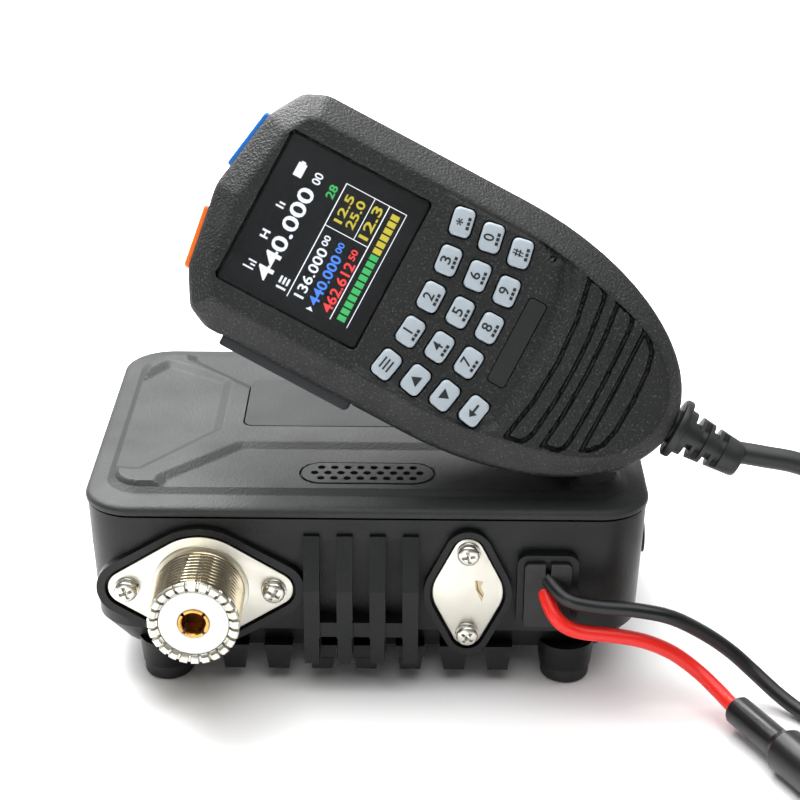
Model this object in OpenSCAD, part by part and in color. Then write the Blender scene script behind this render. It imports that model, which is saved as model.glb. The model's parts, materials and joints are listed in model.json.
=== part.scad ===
// Compact mobile transceiver: a base unit with a hand microphone resting on its cover.
// Millimetres. X runs along the connector face, -Y points out of it and Z is up.

/* [Base unit] */
// Width of the base unit
body_w = 100; // [98:1:104]
// Depth from the connector face to the jack face
body_d = 70; // [69:1:74]
// Height of the seam between housing and cover
seam_z = 33.6; // [33:0.2:35]
// Height of the cross-shaped plateau on the cover
cover_top = 37.6; // [37.2:0.1:38]
// Radius of the upright corners
corner_r = 9; // [7:0.5:10]
// Wall of the die-cast housing
wall = 2.4; // [2:0.2:3]
// Rise of that plateau above the four fields
relief = 0.85; // [0.6:0.05:1]
// Underside of the cooling fins
fin_tip = 2.8; // [2:0.2:3.4]
// Root of the cooling fins
fin_root = 5.6; // [5:0.2:6]
// Distance from one fin to the next
fin_pitch = 7.9; // [7:0.1:8.5]

/* [Antenna socket] */
// Sideways place of the socket's axis
ant_x = -29.2; // [-30:0.2:-28]
// Height of the socket's axis
ant_z = 20.2; // [19:0.1:21]
// Radius of the 5/8-24 threaded barrel
barrel_r = 7.94; // [7.9:0.01:8]
// Reach of the barrel from the connector face
barrel_out = 13.2; // [12:0.1:14]
// Distance between the two flange screws
flange_screws = 26; // [25.5:0.1:26.5]

/* [Blank plate and power inlet] */
// Sideways place of the blank plate
blank_x = 18; // [17.5:0.1:18.5]
// Distance between its two screws
blank_screws = 16.2; // [15.5:0.1:16.6]
// Sideways place of the cable grommet
grommet_x = 32; // [31.5:0.1:32.5]
// Diameter of each supply lead
lead_d = 2.7; // [2.4:0.1:3]

/* [Hand microphone] */
// Width of the microphone
mic_w = 45.6; // [45:0.2:46.4]
// Height of the front shell above the parting line
front_h = 8; // [7.6:0.1:8.4]
// Depth of the rear shell below the parting line
rear_h = 16; // [14:0.5:16]
// Lean of the microphone from upright
lean = 24.7; // [24:0.1:25.4]
// Turn of the microphone in its own plane
turn = 62.4; // [61.5:0.1:63.3]
// Width of a keypad key
key_w = 5; // [4.6:0.1:5.2]
// Height of a keypad key
key_h = 3.7; // [3.4:0.1:3.9]
// Diameter of the microphone cord
cord_d = 4; // [3.6:0.1:4.2]

/* [Hidden] */
set_at = [-1.935, -28.6, 0];
mic_at = [12.7, 18.7, 67.2];
face_z = front_h;
key_pitch_x = 6.9;
key_pitch_y = 5.66;
key_arc_r = 73;
key_gap = 0.3;
mic_x = -0.4;
bolt_r = 1.65;
bracket_gap = 30;
bracket_y = 35;
bracket_z = 21;
foot_x = 36.1;
foot_y = 5.2;
foot_r = 4.4;
foot_screw_r = 1.5;
grille_y = 12.1;
plate_y = 40.3;
panel_w = 78;
panel_z = 9;
jack_x = 18;
jack_z = 21;
audio_x = -18;
mic_coil_at = [122, 26];
mic_coil_r = 24;
lead_coil_at = [113, -38];
lead_coil_r = 16;
fuse_from = [64.8, -12.8, 4];
fuse_turn = -62;
fuse_len = 50;

// Routes of the free cords, from the base unit's own corner of the frame
red_route = [
    [31.4, -2, 20.6], [33.4, -4.6, 17.2], [37, -5, 14.8], [43.5, -5, 13.9], [49, -4.6, 12.6],
    [54.4, -4, 9.8], [59, -5, 6.6], [62.5, -8.6, 4.6], [64.8, -12.8, 4]
];
red_route_2 = [
    [88.3, -57, 4], [90.8, -61, 3], [95.5, -64.4, 1.6], [102, -63, 1.4], [107, -59.6, 1.4],
    [113, -58, 1.4]
];
red_tail = [[113, -58, 4], [119, -58.8, 3.8], [126, -61.4, 2.8], [131, -63.6, 2.3]];
black_route = [
    [31.9, -2, 23], [35, -4.6, 21], [40, -5, 19.8], [47, -4.8, 19], [53.7, -4.2, 17.2],
    [60, -2.6, 13], [65, -2, 9], [69, -3, 5.6], [74, -7.2, 2.6], [79, -12.4, 1.4],
    [86, -19.4, 1.4], [91.4, -27.4, 3], [93, -38, 6.7]
];
black_tail = [[113, -58, 9.4], [119, -57.4, 8.8], [126, -54.6, 6], [132, -51, 3.2], [136, -48.4, 2.3]];
cord_route = [
    [65.3, 7.9, 43.6], [70, 7.6, 42.9], [76, 7.2, 41.8], [83, 5.8, 39], [90, 3, 34],
    [97, -1.4, 26], [103, -6, 17.4], [108, -9, 9.6], [113, -9.2, 4.4], [118, -6.6, 2.2], [122, -4, 2]
];
cord_tail = [[136.4, 0.4, 9.6], [141, 4.4, 11], [145, 9.4, 12.1], [146, 13, 12.1]];

KEYS = [
    ["key_menu", -2, 0], ["key_1", -1, 0], ["key_2", 0, 0], ["key_3", 1, 0], ["key_star", 2, 0],
    ["key_up", -2, 1], ["key_4", -1, 1], ["key_5", 0, 1], ["key_6", 1, 1], ["key_0", 2, 1],
    ["key_down", -2, 2], ["key_7", -1, 2], ["key_8", 0, 2], ["key_9", 1, 2], ["key_hash", 2, 2],
    ["key_exit", -2, 3]
];

// ---- Helpers ----

// Places children in the whole set's frame
module at_base() {
    translate(set_at) children();
}

// Places children in the microphone's frame: X to the reader's right, Y up the face, Z out of it
module at_mic() {
    at_base() translate(mic_at) rotate([90 - lean, 0, 0]) rotate([0, 0, turn]) children();
}

module rounded_rect(w, d, r) {
    square([w - 2 * r, d], center = true);
    square([w, d - 2 * r], center = true);
    for (x = [-1, 1], y = [-1, 1])
        translate([x * (w / 2 - r), y * (d / 2 - r)]) circle(r = r, $fn = 48);
}

// A rounded plate standing on z, centred on the base's footprint
module slab(z, h, inset, r = corner_r) {
    translate([0, body_d / 2, z])
        linear_extrude(h) rounded_rect(body_w - 2 * inset, body_d - 2 * inset, max(r - inset / 2, 1));
}

// Children turned so that their Z points out of the connector face
module facing_out(x, y, z) {
    translate([x, y, z]) rotate([90, 0, 0]) children();
}

// Rhombic outline of a two-hole flange: a middle disc and two end discs
module flange_2d(spacing, mid_r, end_r) {
    hull() {
        circle(r = mid_r, $fn = 32);
        for (s = [-1, 1]) translate([s * spacing / 2, 0]) circle(r = end_r, $fn = 32);
    }
}

module pan_screw(head_r, head_h, len, r) {
    difference() {
        union() {
            rotate_extrude($fn = 48) polygon([
                [0, 0], [head_r, 0], [head_r, head_h * 0.45], [head_r * 0.86, head_h * 0.8],
                [head_r * 0.55, head_h], [0, head_h]
            ]);
            translate([0, 0, -len]) cylinder(r = r, h = len, $fn = 32);
        }
        for (a = [0, 90]) rotate([0, 0, a])
            translate([-head_r * 0.55, -head_r * 0.13, head_h * 0.35]) cube([head_r * 1.1, head_r * 0.26, head_h]);
    }
}

// Spring washer with its split
module split_washer(r, h, bore) {
    difference() {
        cylinder(r = r, h = h, $fn = 48);
        translate([0, 0, -1]) cylinder(r = bore, h = h + 2, $fn = 32);
        translate([0, -0.15, -1]) cube([r + 1, 0.3, h + 2]);
    }
}

function unit(v) = v / norm(v);
function bend(p, i, t) =
    let (n = len(p) - 1, a = p[max(i - 1, 0)], b = p[i], c = p[min(i + 1, n)], d = p[min(i + 2, n)])
    0.5 * (2 * b + (c - a) * t + (2 * a - 5 * b + 4 * c - d) * t * t + (3 * b - a - 3 * c + d) * t * t * t);
function smooth(p, steps) = concat(
    [for (i = [0:len(p) - 2], k = [0:steps - 1]) bend(p, i, k / steps)], [p[len(p) - 1]]);

// Plain round tube swept along a route
module tube(route, d, steps = 1) {
    path = smooth(route, steps);
    n = len(path);
    sides = 8;
    rings = [for (i = [0:n - 1])
        let (t = unit(path[min(i + 1, n - 1)] - path[max(i - 1, 0)]),
             s = unit(cross(t, [0, 0, 1])),
             u = cross(s, t))
        for (k = [0:sides - 1]) path[i] + d / 2 * (cos(k * 360 / sides) * s + sin(k * 360 / sides) * u)];
    walls = [for (i = [0:n - 2], k = [0:sides - 1])
        let (a = i * sides + k, b = i * sides + (k + 1) % sides)
        [a, a + sides, b + sides, b]];
    polyhedron(rings, concat([[for (k = [0:sides - 1]) k]],
        [[for (k = [sides - 1:-1:0]) (n - 1) * sides + k]], walls), convexity = 8);
}

// Outer shape of a neat coil of four cord widths across
module coil(at, r, d, z, layers) {
    translate([at[0], at[1], z]) rotate_extrude($fn = 72)
        translate([r - 2 * d, 0]) square([4 * d, layers * d]);
}

// ---- Base unit ----

module bracket_places() {
    for (s = [-1, 1], y = [-1, 1])
        translate([s * body_w / 2, bracket_y + y * bracket_gap / 2, bracket_z])
            rotate([0, s * 90, 0]) children();
}

module foot_places() {
    for (x = [-1, 1], y = [foot_y, body_d - foot_y]) translate([x * foot_x, y, 0]) children();
}

module heat_rib(x) {
    translate([x - 1.4, 0, 0]) rotate([90, 0, 90]) linear_extrude(2.8)
        polygon([[2, 30.6], [-0.3, 30.6], [-3, 21], [-3, 6.3], [2, 6.3]]);
}

module chassis() {
    color([0.07, 0.07, 0.075]) at_base() difference() {
        union() {
            hull() {
                slab(seam_z - 1, 1, 0.3);
                slab(11, 1, 1.2);
                slab(fin_root, 1, 5);
            }
            for (k = [-3:3]) translate([k * fin_pitch, body_d - 1, 0]) rotate([90, 0, 0])
                linear_extrude(body_d - 2)
                    polygon([[-2.6, fin_root + 2], [2.6, fin_root + 2], [1.8, fin_tip], [-1.8, fin_tip]]);
            foot_places() translate([0, 0, fin_tip]) cylinder(r1 = 4.7, r2 = 5.2, h = 5, $fn = 48);
            bracket_places() translate([0, 0, -1.5]) cylinder(r = 3.6, h = 2.4, $fn = 48);
            facing_out(ant_x, 1, ant_z) linear_extrude(2) flange_2d(flange_screws, 12, 5.4);
            facing_out(blank_x, 1, 19.7) rotate([0, 0, 90]) linear_extrude(2)
                flange_2d(blank_screws, 7.8, 4.2);
            facing_out(grommet_x, 1, 20) linear_extrude(2.2) rounded_rect(10.8, 15.2, 2);
            for (k = [0:3]) heat_rib(-9.5 + 5.8 * k);
            translate([-10.7, -2.4, 11.5]) cube([20, 4, 2.9]);
        }
        // hollow for the boards, open to the cover
        translate([0, 0, 0.2]) slab(9, seam_z, wall + 0.8, 8);
        // seats of the flange, the blank plate and the grommet
        facing_out(ant_x, 0.6, ant_z) linear_extrude(4) flange_2d(flange_screws, 10.8, 3.9);
        facing_out(ant_x, 8, ant_z) cylinder(r = 6.2, h = 10, $fn = 48);
        for (s = [-1, 1]) facing_out(ant_x + s * flange_screws / 2, 8, ant_z)
            cylinder(r = 1.25, h = 10, $fn = 32);
        facing_out(blank_x, 0.6, 19.7) rotate([0, 0, 90]) linear_extrude(4)
            flange_2d(blank_screws, 6.7, 3.1);
        for (s = [-1, 1]) facing_out(blank_x, 8, 19.7 + s * blank_screws / 2)
            cylinder(r = 1.25, h = 10, $fn = 32);
        facing_out(grommet_x, 8, 20) linear_extrude(12) rounded_rect(8.4, 12.8, 1);
        // dark slots between the heat ribs
        for (k = [0:2]) {
            translate([-8.25 + 5.8 * k, -0.4, 14.4]) cube([3.3, 1.6, 15.2]);
            translate([-8.25 + 5.8 * k, -3.5, 5]) cube([3.3, 4.6, 6.5]);
        }
        // notch for the rear panel
        translate([-panel_w / 2, body_d - 4, panel_z]) cube([panel_w, 6, 30]);
        // bracket inserts and foot screws
        bracket_places() translate([0, 0, -4]) cylinder(r = 2.6, h = 6, $fn = 48);
        foot_places() translate([0, 0, -1]) cylinder(r = foot_screw_r, h = 20, $fn = 32);
    }
}

// Panel with the jacks, held between the housing and the cover
module rear_panel() {
    color([0.07, 0.07, 0.075]) at_base() difference() {
        translate([-panel_w / 2, body_d - 3.2, panel_z]) cube([panel_w, 2.8, seam_z - 0.2 - panel_z]);
        translate([jack_x - 8.2, body_d - 4, jack_z - 7]) cube([16.4, 6, 30]);
        translate([audio_x, body_d + 1, jack_z]) rotate([90, 0, 0]) cylinder(r = 3.1, h = 6, $fn = 48);
    }
}

// Fields of the cover, lower than the plateau between them
module side_field() {
    polygon([[-45, 14.2], [-45, 51], [-40.5, 58.1], [-29.4, 50.4], [-29.4, 29], [-41.5, 13.4]]);
}

module cross_field() {
    polygon([[-36.6, 2], [36.6, 2], [35.4, 8.6], [23, 21.4], [-23, 21.4], [-35.4, 8.6]]);
}

// Stepped cover: a rounded rim, a ledge all round, the fields' level and the plateau on top
module top_cover() {
    field_z = cover_top - relief;
    color([0.27, 0.27, 0.26]) at_base() difference() {
        union() {
            hull() {
                slab(seam_z + 0.4, 1.4, 0);
                slab(field_z - 1.1, 0.2, 1.6);
            }
            hull() {
                translate([0, body_d / 2, field_z - 1.1]) linear_extrude(0.2) rounded_rect(93, 60.4, 6.5);
                translate([0, body_d / 2, field_z - 0.1]) linear_extrude(0.1) rounded_rect(90.5, 57.6, 5.6);
            }
            translate([0, 0, field_z - 0.5]) linear_extrude(relief + 0.5) difference() {
                translate([0, body_d / 2]) rounded_rect(89.2, 56.4, 5);
                side_field();
                mirror([1, 0]) side_field();
                cross_field();
                translate([0, body_d]) mirror([0, 1]) cross_field();
            }
        }
        slab(seam_z - 1, 2, wall);
        translate([0, plate_y, cover_top - 0.9]) linear_extrude(3) rounded_rect(47.6, 21.4, 2);
        translate([0, grille_y, seam_z]) linear_extrude(6) rounded_rect(24.4, 8.6, 4.25);
    }
}

module cover_plate() {
    color([0.25, 0.25, 0.24]) at_base() translate([0, plate_y, cover_top - 0.9])
        linear_extrude(0.9) rounded_rect(47, 20.8, 1.8);
}

module speaker_grille() {
    color([0.2, 0.2, 0.2]) at_base() translate([0, grille_y, cover_top - relief - 0.6]) difference() {
        union() {
            linear_extrude(0.7) rounded_rect(23.6, 7.8, 3.85);
            translate([0, 0, -0.5]) linear_extrude(0.6) rounded_rect(24.2, 8.4, 4.15);
        }
        for (row = [-1:1], k = [0:row == 0 ? 8 : 7])
            translate([(k - (row == 0 ? 4 : 3.5)) * 2.35, row * 2.1, -2]) cylinder(r = 0.66, h = 4, $fn = 16);
    }
}

module speaker() {
    color([0.5, 0.5, 0.52]) at_base() translate([0, grille_y, 28.4]) rotate_extrude($fn = 64)
        polygon([[0, 0], [4.5, 0], [4.5, 1.5], [8, 3.2], [8.6, 3.2], [8.6, 4], [6.5, 4], [2.4, 2.6], [0, 2.6]]);
}

module main_board() {
    color([0.05, 0.3, 0.16]) at_base() difference() {
        union() {
            translate([0, body_d / 2, 12.4]) linear_extrude(1.6) rounded_rect(88, 58, 3);
            for (s = [-1, 1]) translate([s * 18 - 7, 30, 13.9]) cube([14, 14, 2.4]);
        }
        foot_places() translate([0, 0, 5]) cylinder(r = 3.4, h = 20, $fn = 32);
    }
}

module power_module() {
    color([0.75, 0.72, 0.66]) at_base() translate([-27, 50, 9.3]) cube([30, 11, 3]);
}

module antenna_socket() {
    color([0.78, 0.77, 0.74]) at_base() difference() {
        union() {
            facing_out(ant_x, 0.6, ant_z) linear_extrude(1.4) flange_2d(flange_screws, 10.3, 3.4);
            facing_out(ant_x, -0.6, ant_z) cylinder(r = 8.6, h = 1.6, $fn = 64);
            facing_out(ant_x, -0.6, ant_z) cylinder(r = barrel_r, h = barrel_out - 0.6, $fn = 64);
            facing_out(ant_x, 6, ant_z) cylinder(r = 6, h = 7, $fn = 64);
        }
        facing_out(ant_x, 9, ant_z) cylinder(r = 3.2, h = 30, $fn = 48);
        facing_out(ant_x, -6, ant_z) cylinder(r = 6.1, h = 10, $fn = 48);
        for (s = [-1, 1]) facing_out(ant_x + s * flange_screws / 2, 3, ant_z)
            cylinder(r = 1.7, h = 6, $fn = 32);
    }
}

module antenna_insulator() {
    color([0.93, 0.93, 0.92]) at_base() difference() {
        union() {
            facing_out(ant_x, -6, ant_z) cylinder(r = 6.1, h = barrel_out - 6.5, $fn = 48);
            facing_out(ant_x, 7, ant_z) cylinder(r = 3.2, h = 13.1, $fn = 48);
        }
        facing_out(ant_x, 9, ant_z) cylinder(r = 2.8, h = 30, $fn = 48);
    }
}

module antenna_contact() {
    color([0.83, 0.63, 0.25]) at_base() difference() {
        facing_out(ant_x, 9, ant_z) cylinder(r = 2.8, h = 9 + barrel_out - 0.3, $fn = 48);
        facing_out(ant_x, 0, ant_z) cylinder(r = 2.02, h = 20, $fn = 48);
    }
}

module antenna_screws() {
    color([0.75, 0.74, 0.7]) at_base() for (s = [-1, 1])
        facing_out(ant_x + s * flange_screws / 2, -0.8, ant_z) {
            split_washer(2.2, 0.6, 1.3);
            translate([0, 0, 0.6]) pan_screw(2, 1.5, 6, 1.2);
        }
}

module blank_plate() {
    color([0.78, 0.77, 0.74]) at_base() difference() {
        facing_out(blank_x, 0.6, 19.7) rotate([0, 0, 90]) linear_extrude(1.2)
            flange_2d(blank_screws, 6.3, 2.7);
        for (s = [-1, 1]) facing_out(blank_x, 3, 19.7 + s * blank_screws / 2)
            cylinder(r = 1.7, h = 6, $fn = 32);
    }
}

module blank_plate_screws() {
    color([0.75, 0.74, 0.7]) at_base() for (s = [-1, 1])
        facing_out(blank_x, -0.6, 19.7 + s * blank_screws / 2) {
            split_washer(2.1, 0.6, 1.3);
            translate([0, 0, 0.6]) pan_screw(1.9, 1.4, 6, 1.2);
        }
}

module cable_grommet() {
    color([0.09, 0.09, 0.09]) at_base() difference() {
        facing_out(grommet_x, 5, 20) union() {
            linear_extrude(7) rounded_rect(8.2, 12.6, 0.9);
            linear_extrude(2) rounded_rect(10.4, 14.6, 1);
        }
        translate([grommet_x - 0.5, -3, 23.4]) cube([1, 3, 3]);
    }
}

module rubber_feet() {
    color([0.06, 0.06, 0.06]) at_base() foot_places() difference() {
        rotate_extrude($fn = 64)
            polygon([[0, 0], [foot_r - 0.5, 0], [foot_r, 0.5], [foot_r, fin_tip], [0, fin_tip]]);
        translate([0, 0, -1]) cylinder(r = 2.4, h = 2.4, $fn = 32);
        translate([0, 0, -1]) cylinder(r = foot_screw_r, h = 6, $fn = 32);
    }
}

module case_screws() {
    color([0.6, 0.6, 0.6]) at_base() foot_places()
        translate([0, 0, 1.4]) rotate([180, 0, 0]) pan_screw(2.2, 1.2, 10, foot_screw_r - 0.05);
}

module mic_jack() {
    color([0.1, 0.1, 0.1]) at_base() difference() {
        translate([jack_x - 8, body_d - 16, 14]) cube([16, 16.4, seam_z - 14.4]);
        translate([jack_x - 5.9, body_d - 13, jack_z - 4.3]) cube([11.8, 14, 8.2]);
        translate([jack_x - 3.2, body_d - 13, jack_z + 3.8]) cube([6.4, 14, 1.6]);
    }
}

module audio_jack() {
    color([0.1, 0.1, 0.1]) at_base() difference() {
        union() {
            translate([audio_x - 4, body_d - 15, jack_z - 4]) cube([8, 12, 8]);
            translate([audio_x, body_d - 4, jack_z]) rotate([-90, 0, 0]) cylinder(r = 3, h = 4.4, $fn = 48);
        }
        translate([audio_x, body_d - 14, jack_z]) rotate([-90, 0, 0]) cylinder(r = 1.8, h = 16, $fn = 48);
    }
}

module bracket_inserts() {
    color([0.7, 0.58, 0.3]) at_base() bracket_places() difference() {
        translate([0, 0, -4]) cylinder(r = 2.6, h = 4.8, $fn = 48);
        translate([0, 0, -3.2]) cylinder(r = bolt_r, h = 6, $fn = 32);
    }
}

// ---- Supply leads ----

module red_lead() {
    color([0.85, 0.12, 0.1]) at_base() {
        tube(red_route, lead_d);
        tube(red_route_2, lead_d);
        tube(red_tail, lead_d);
    }
}

module black_lead() {
    color([0.08, 0.08, 0.08]) at_base() {
        tube(black_route, lead_d);
        tube(black_tail, lead_d);
    }
}

module along_fuse() {
    at_base() translate(fuse_from) rotate([0, 0, fuse_turn]) rotate([0, 90, 0]) children();
}

// Half of the in-line holder: the sleeve, its shoulder and the body
module fuse_half(r) {
    rotate_extrude($fn = 64) polygon([
        [1.45, 0], [2.3, 0], [2.65, 0.5], [2.65, 12], [r - 0.5, 13.2], [r, 14], [r, fuse_len / 2],
        [2.75, fuse_len / 2], [2.75, 14.6], [1.45, 14.6]
    ]);
}

module fuse_cap() {
    color([0.07, 0.07, 0.07]) along_fuse() fuse_half(3.95);
}

module fuse_body() {
    color([0.07, 0.07, 0.07]) along_fuse() translate([0, 0, fuse_len]) mirror([0, 0, 1]) fuse_half(3.8);
}

module fuse() {
    color([0.8, 0.8, 0.75]) along_fuse() translate([0, 0, fuse_len / 2 - 10]) cylinder(r = 2.6, h = 20, $fn = 48);
}

module red_coil() {
    color([0.85, 0.12, 0.1]) at_base() coil(lead_coil_at, lead_coil_r, lead_d, 0, 2);
}

module black_coil() {
    color([0.08, 0.08, 0.08]) at_base() coil(lead_coil_at, lead_coil_r, lead_d, 2 * lead_d, 2);
}

// Insulated ring terminal for a 4 mm stud
module ring_terminal(at, heading) {
    at_base() translate(at) rotate([0, 0, heading]) difference() {
        union() {
            rotate([0, 90, 0]) cylinder(r = 2.2, h = 8, $fn = 48);
            translate([7, -1.8, -0.4]) cube([4, 3.6, 0.8]);
            translate([13, 0, -0.4]) cylinder(r = 4, h = 0.8, $fn = 48);
        }
        translate([13, 0, -2]) cylinder(r = 2.15, h = 4, $fn = 48);
    }
}

module red_terminal() {
    color([0.7, 0.2, 0.15]) ring_terminal([131, -63.6, 2.3], -24);
}

module black_terminal() {
    color([0.15, 0.15, 0.15]) ring_terminal([136, -48.4, 2.3], 33);
}

// ---- Hand microphone ----

// Outline: two sloping facets at the top, straight sides and half an ellipse at the cord's end
function mic_outline(inset) =
    let (w = mic_w / 2 - inset, low = 41 - inset)
    concat(
        [[0, 44 - inset], [-15, 41.6 - inset], [-w + 1.8, 38 - inset], [-w, 34]],
        [for (a = [180:12:360]) [w * cos(a), -5 + low * sin(a)]],
        [[w, 34], [w - 1.8, 38 - inset], [15, 41.6 - inset]]
    );

module mic_slab(z, h, inset) {
    translate([mic_x, 0, z]) linear_extrude(h) polygon(mic_outline(inset));
}

// Centre of a key: the columns are straight and the rows bow towards the cord's end
function key_x(i) = mic_x + KEYS[i][1] * key_pitch_x;
function key_y(i) = 1.7 + pow(KEYS[i][1] * key_pitch_x, 2) / (2 * key_arc_r) - KEYS[i][2] * key_pitch_y;
function key_turn(i) = KEYS[i][1] * key_pitch_x / key_arc_r * 57.3;

module key_shape(i, grow) {
    translate([key_x(i), key_y(i), 0]) rotate([0, 0, key_turn(i)])
        rounded_rect(key_w + 2 * grow, key_h + 2 * grow, 1 + grow);
}

module ptt_room(grow) {
    translate([-26, 5.6 - grow, -5 - grow]) cube([6.4 + grow, 25 + 2 * grow, 9 + 2 * grow]);
}

module top_key_room(s, grow) {
    translate([mic_x + s * 9.6 - 5.6 - grow, 36.5, -4 - grow]) cube([11.2 + 2 * grow, 10, 8 + 2 * grow]);
}

module bar(y, h, low_w, high_w) {
    translate([mic_x, y, face_z - 0.6]) linear_extrude(2)
        polygon([[-low_w, -h / 2], [low_w, -h / 2], [high_w, h / 2], [-high_w, h / 2]]);
}

module handset_front() {
    color([0.13, 0.13, 0.13]) at_mic() difference() {
        hull() {
            mic_slab(0.05, 4, 0);
            mic_slab(face_z - 0.1, 0.1, 2.6);
        }
        mic_slab(-1, 6.8, 3.4);
        translate([mic_x, 22.6, 0]) linear_extrude(20) rounded_rect(28.9, 27.4, 1);
        for (i = [0:len(KEYS) - 1]) linear_extrude(20) key_shape(i, key_gap);
        translate([mic_x, -15, face_z - 0.5]) linear_extrude(2) rounded_rect(16.4, 3.6, 0.8);
        translate([15.2, -13.7, 0]) cylinder(r = 0.6, h = 20, $fn = 24);
        bar(-22.9, 4.8, 14.3, 15.9);
        bar(-29.1, 4.4, 12.4, 14.2);
        bar(-35.2, 4, 9, 12);
        ptt_room(0.35);
        for (s = [-1, 1]) top_key_room(s, 0.3);
        translate([0, -38, -0.1]) rotate([90, 0, 0]) cylinder(r = 3.2, h = 20, $fn = 48);
    }
}

module handset_rear() {
    color([0.13, 0.13, 0.13]) at_mic() difference() {
        hull() {
            mic_slab(-2.05, 2, 0);
            mic_slab(-rear_h, 0.1, 8);
        }
        hull() {
            mic_slab(-3, 4, 2.6);
            mic_slab(-rear_h + 2.2, 0.1, 9.6);
        }
        ptt_room(0.35);
        for (s = [-1, 1]) top_key_room(s, 0.3);
        translate([0, -38, -0.1]) rotate([90, 0, 0]) cylinder(r = 3.2, h = 20, $fn = 48);
        for (s = [-1, 1]) translate([s * 10, 28, -20]) cylinder(r = 1.3, h = 8, $fn = 32);
        translate([0, 12, -20]) cylinder(r = 2, h = 8, $fn = 32);
    }
}

module display_window() {
    color([0.05, 0.05, 0.06]) at_mic() translate([mic_x, 22.6, face_z - 1.4])
        linear_extrude(1) rounded_rect(28.3, 26.8, 0.8);
}

module display_panel() {
    color([0.1, 0.1, 0.14]) at_mic() translate([mic_x, 22.6, face_z - 4.2])
        linear_extrude(2.6) rounded_rect(27.8, 26.4, 0.6);
}

module keypad_board() {
    color([0.05, 0.3, 0.16]) at_mic() translate([mic_x, 0, 2])
        linear_extrude(1.4) polygon([[-17.4, 8], [17.4, 8], [17.4, -12], [12, -22], [-12, -22], [-17.4, -12]]);
}

module badge() {
    color([0.2, 0.2, 0.2]) at_mic() translate([mic_x, -15, face_z - 0.5])
        linear_extrude(0.5) rounded_rect(16, 3.2, 0.7);
}

module mic_capsule() {
    color([0.7, 0.7, 0.7]) at_mic() translate([15.2, -13.7, 3.5]) cylinder(r = 2.4, h = 2.2, $fn = 48);
}

// Moulded relief: a collar against the shell and five tapering segments
module strain_relief() {
    color([0.1, 0.1, 0.1]) at_mic() translate([0, -38.4, -0.1]) rotate([90, 0, 0]) rotate_extrude($fn = 64)
        polygon(concat([[0, 0], [3.1, 0], [3.1, 7.9], [5.4, 7.9], [5.4, 9.5], [4.15, 9.5]],
            [for (k = [0:4], p = [[0, 0], [0, 1.5], [-0.8, 1.6], [-0.8, 2.2]])
                [4.15 - 0.24 * k + p[0], 9.8 + 2.2 * k + p[1]]],
            [[2.9, 21], [0, 21]]));
}

module mic_cord() {
    color([0.1, 0.1, 0.1]) at_base() {
        tube(cord_route, cord_d);
        tube(cord_tail, cord_d);
    }
}

module mic_cord_coil() {
    color([0.1, 0.1, 0.1]) at_base() coil(mic_coil_at, mic_coil_r, cord_d, 0, 2);
}

// Eight-way modular plug with its boot and latch
module mic_plug() {
    color([0.7, 0.75, 0.78]) at_base() translate([146, 13, 12.1]) {
        translate([-3, 0, -3]) cube([6, 7, 6]);
        translate([-5.85, 7, -4]) cube([11.7, 21, 6.6]);
        translate([-3, 10, 2.6]) cube([6, 16, 1]);
    }
}

module handset_screws() {
    color([0.3, 0.3, 0.3]) at_mic() for (s = [-1, 1])
        translate([s * 10, 28, -rear_h - 0.05]) rotate([180, 0, 0]) pan_screw(2.3, 1.2, 6, 1.25);
}

module hanger_stud() {
    color([0.65, 0.65, 0.66]) at_mic() translate([0, 12, -rear_h - 0.05]) rotate([180, 0, 0])
        rotate_extrude($fn = 64) polygon([[0, -4], [1.9, -4], [1.9, 0], [3, 0], [3, 2.4], [5.4, 2.9], [5.4, 3.9], [4.4, 4.6], [0, 4.6]]);
}

module ptt_key() {
    color([0.16, 0.16, 0.16]) at_mic() difference() {
        translate([-24.7, 5.6, -5]) cube([4, 25, 9]);
        translate([-21.7, 4, -4]) cube([2, 22, 7]);
    }
}

// Side of the top facet at x, measured down the face
function facet_y(x) = 44.7 - 0.16 * abs(x);

module top_key(s) {
    x1 = s * 4;
    x2 = s * 15.2;
    at_mic() translate([mic_x, 0, -4]) linear_extrude(8)
        polygon([[x1, 37.6], [x2, 37.6], [x2, facet_y(x2)], [x1, facet_y(x1)]]);
}

module blue_key() {
    color([0.1, 0.4, 0.75]) top_key(1);
}

module orange_key() {
    color([0.9, 0.42, 0.1]) top_key(-1);
}

// Cap, and below the face the skirt that keeps it in
module keypad_key(i) {
    color([0.75, 0.78, 0.8]) at_mic() {
        translate([0, 0, 5]) linear_extrude(face_z - 5 + 0.8) key_shape(i, 0);
        translate([0, 0, 4.4]) linear_extrude(0.8) key_shape(i, 0.6);
    }
}

chassis();
rear_panel();
top_cover();
cover_plate();
speaker_grille();
speaker();
main_board();
power_module();
antenna_socket();
antenna_insulator();
antenna_contact();
antenna_screws();
blank_plate();
blank_plate_screws();
cable_grommet();
rubber_feet();
case_screws();
mic_jack();
audio_jack();
bracket_inserts();
red_lead();
black_lead();
fuse_cap();
fuse_body();
fuse();
red_coil();
black_coil();
red_terminal();
black_terminal();
handset_front();
handset_rear();
display_window();
display_panel();
keypad_board();
badge();
mic_capsule();
strain_relief();
mic_cord();
mic_cord_coil();
mic_plug();
handset_screws();
hanger_stud();
ptt_key();
blue_key();
orange_key();
for (i = [0:len(KEYS) - 1])
    keypad_key(i);
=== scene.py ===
# %% [markdown]
# # A mobile transceiver and its hand microphone
# The object is a small two-way radio for a vehicle: a die-cast box with an antenna socket, and a
# hand microphone that holds the display and the keypad. The CAD model gives every place and size.
# This script dresses it: each visible part gets a detailed mesh or a real finish.

# %% The frame
import json
import math

import bpy
import numpy as np
from mathutils import Matrix, Vector


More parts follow.
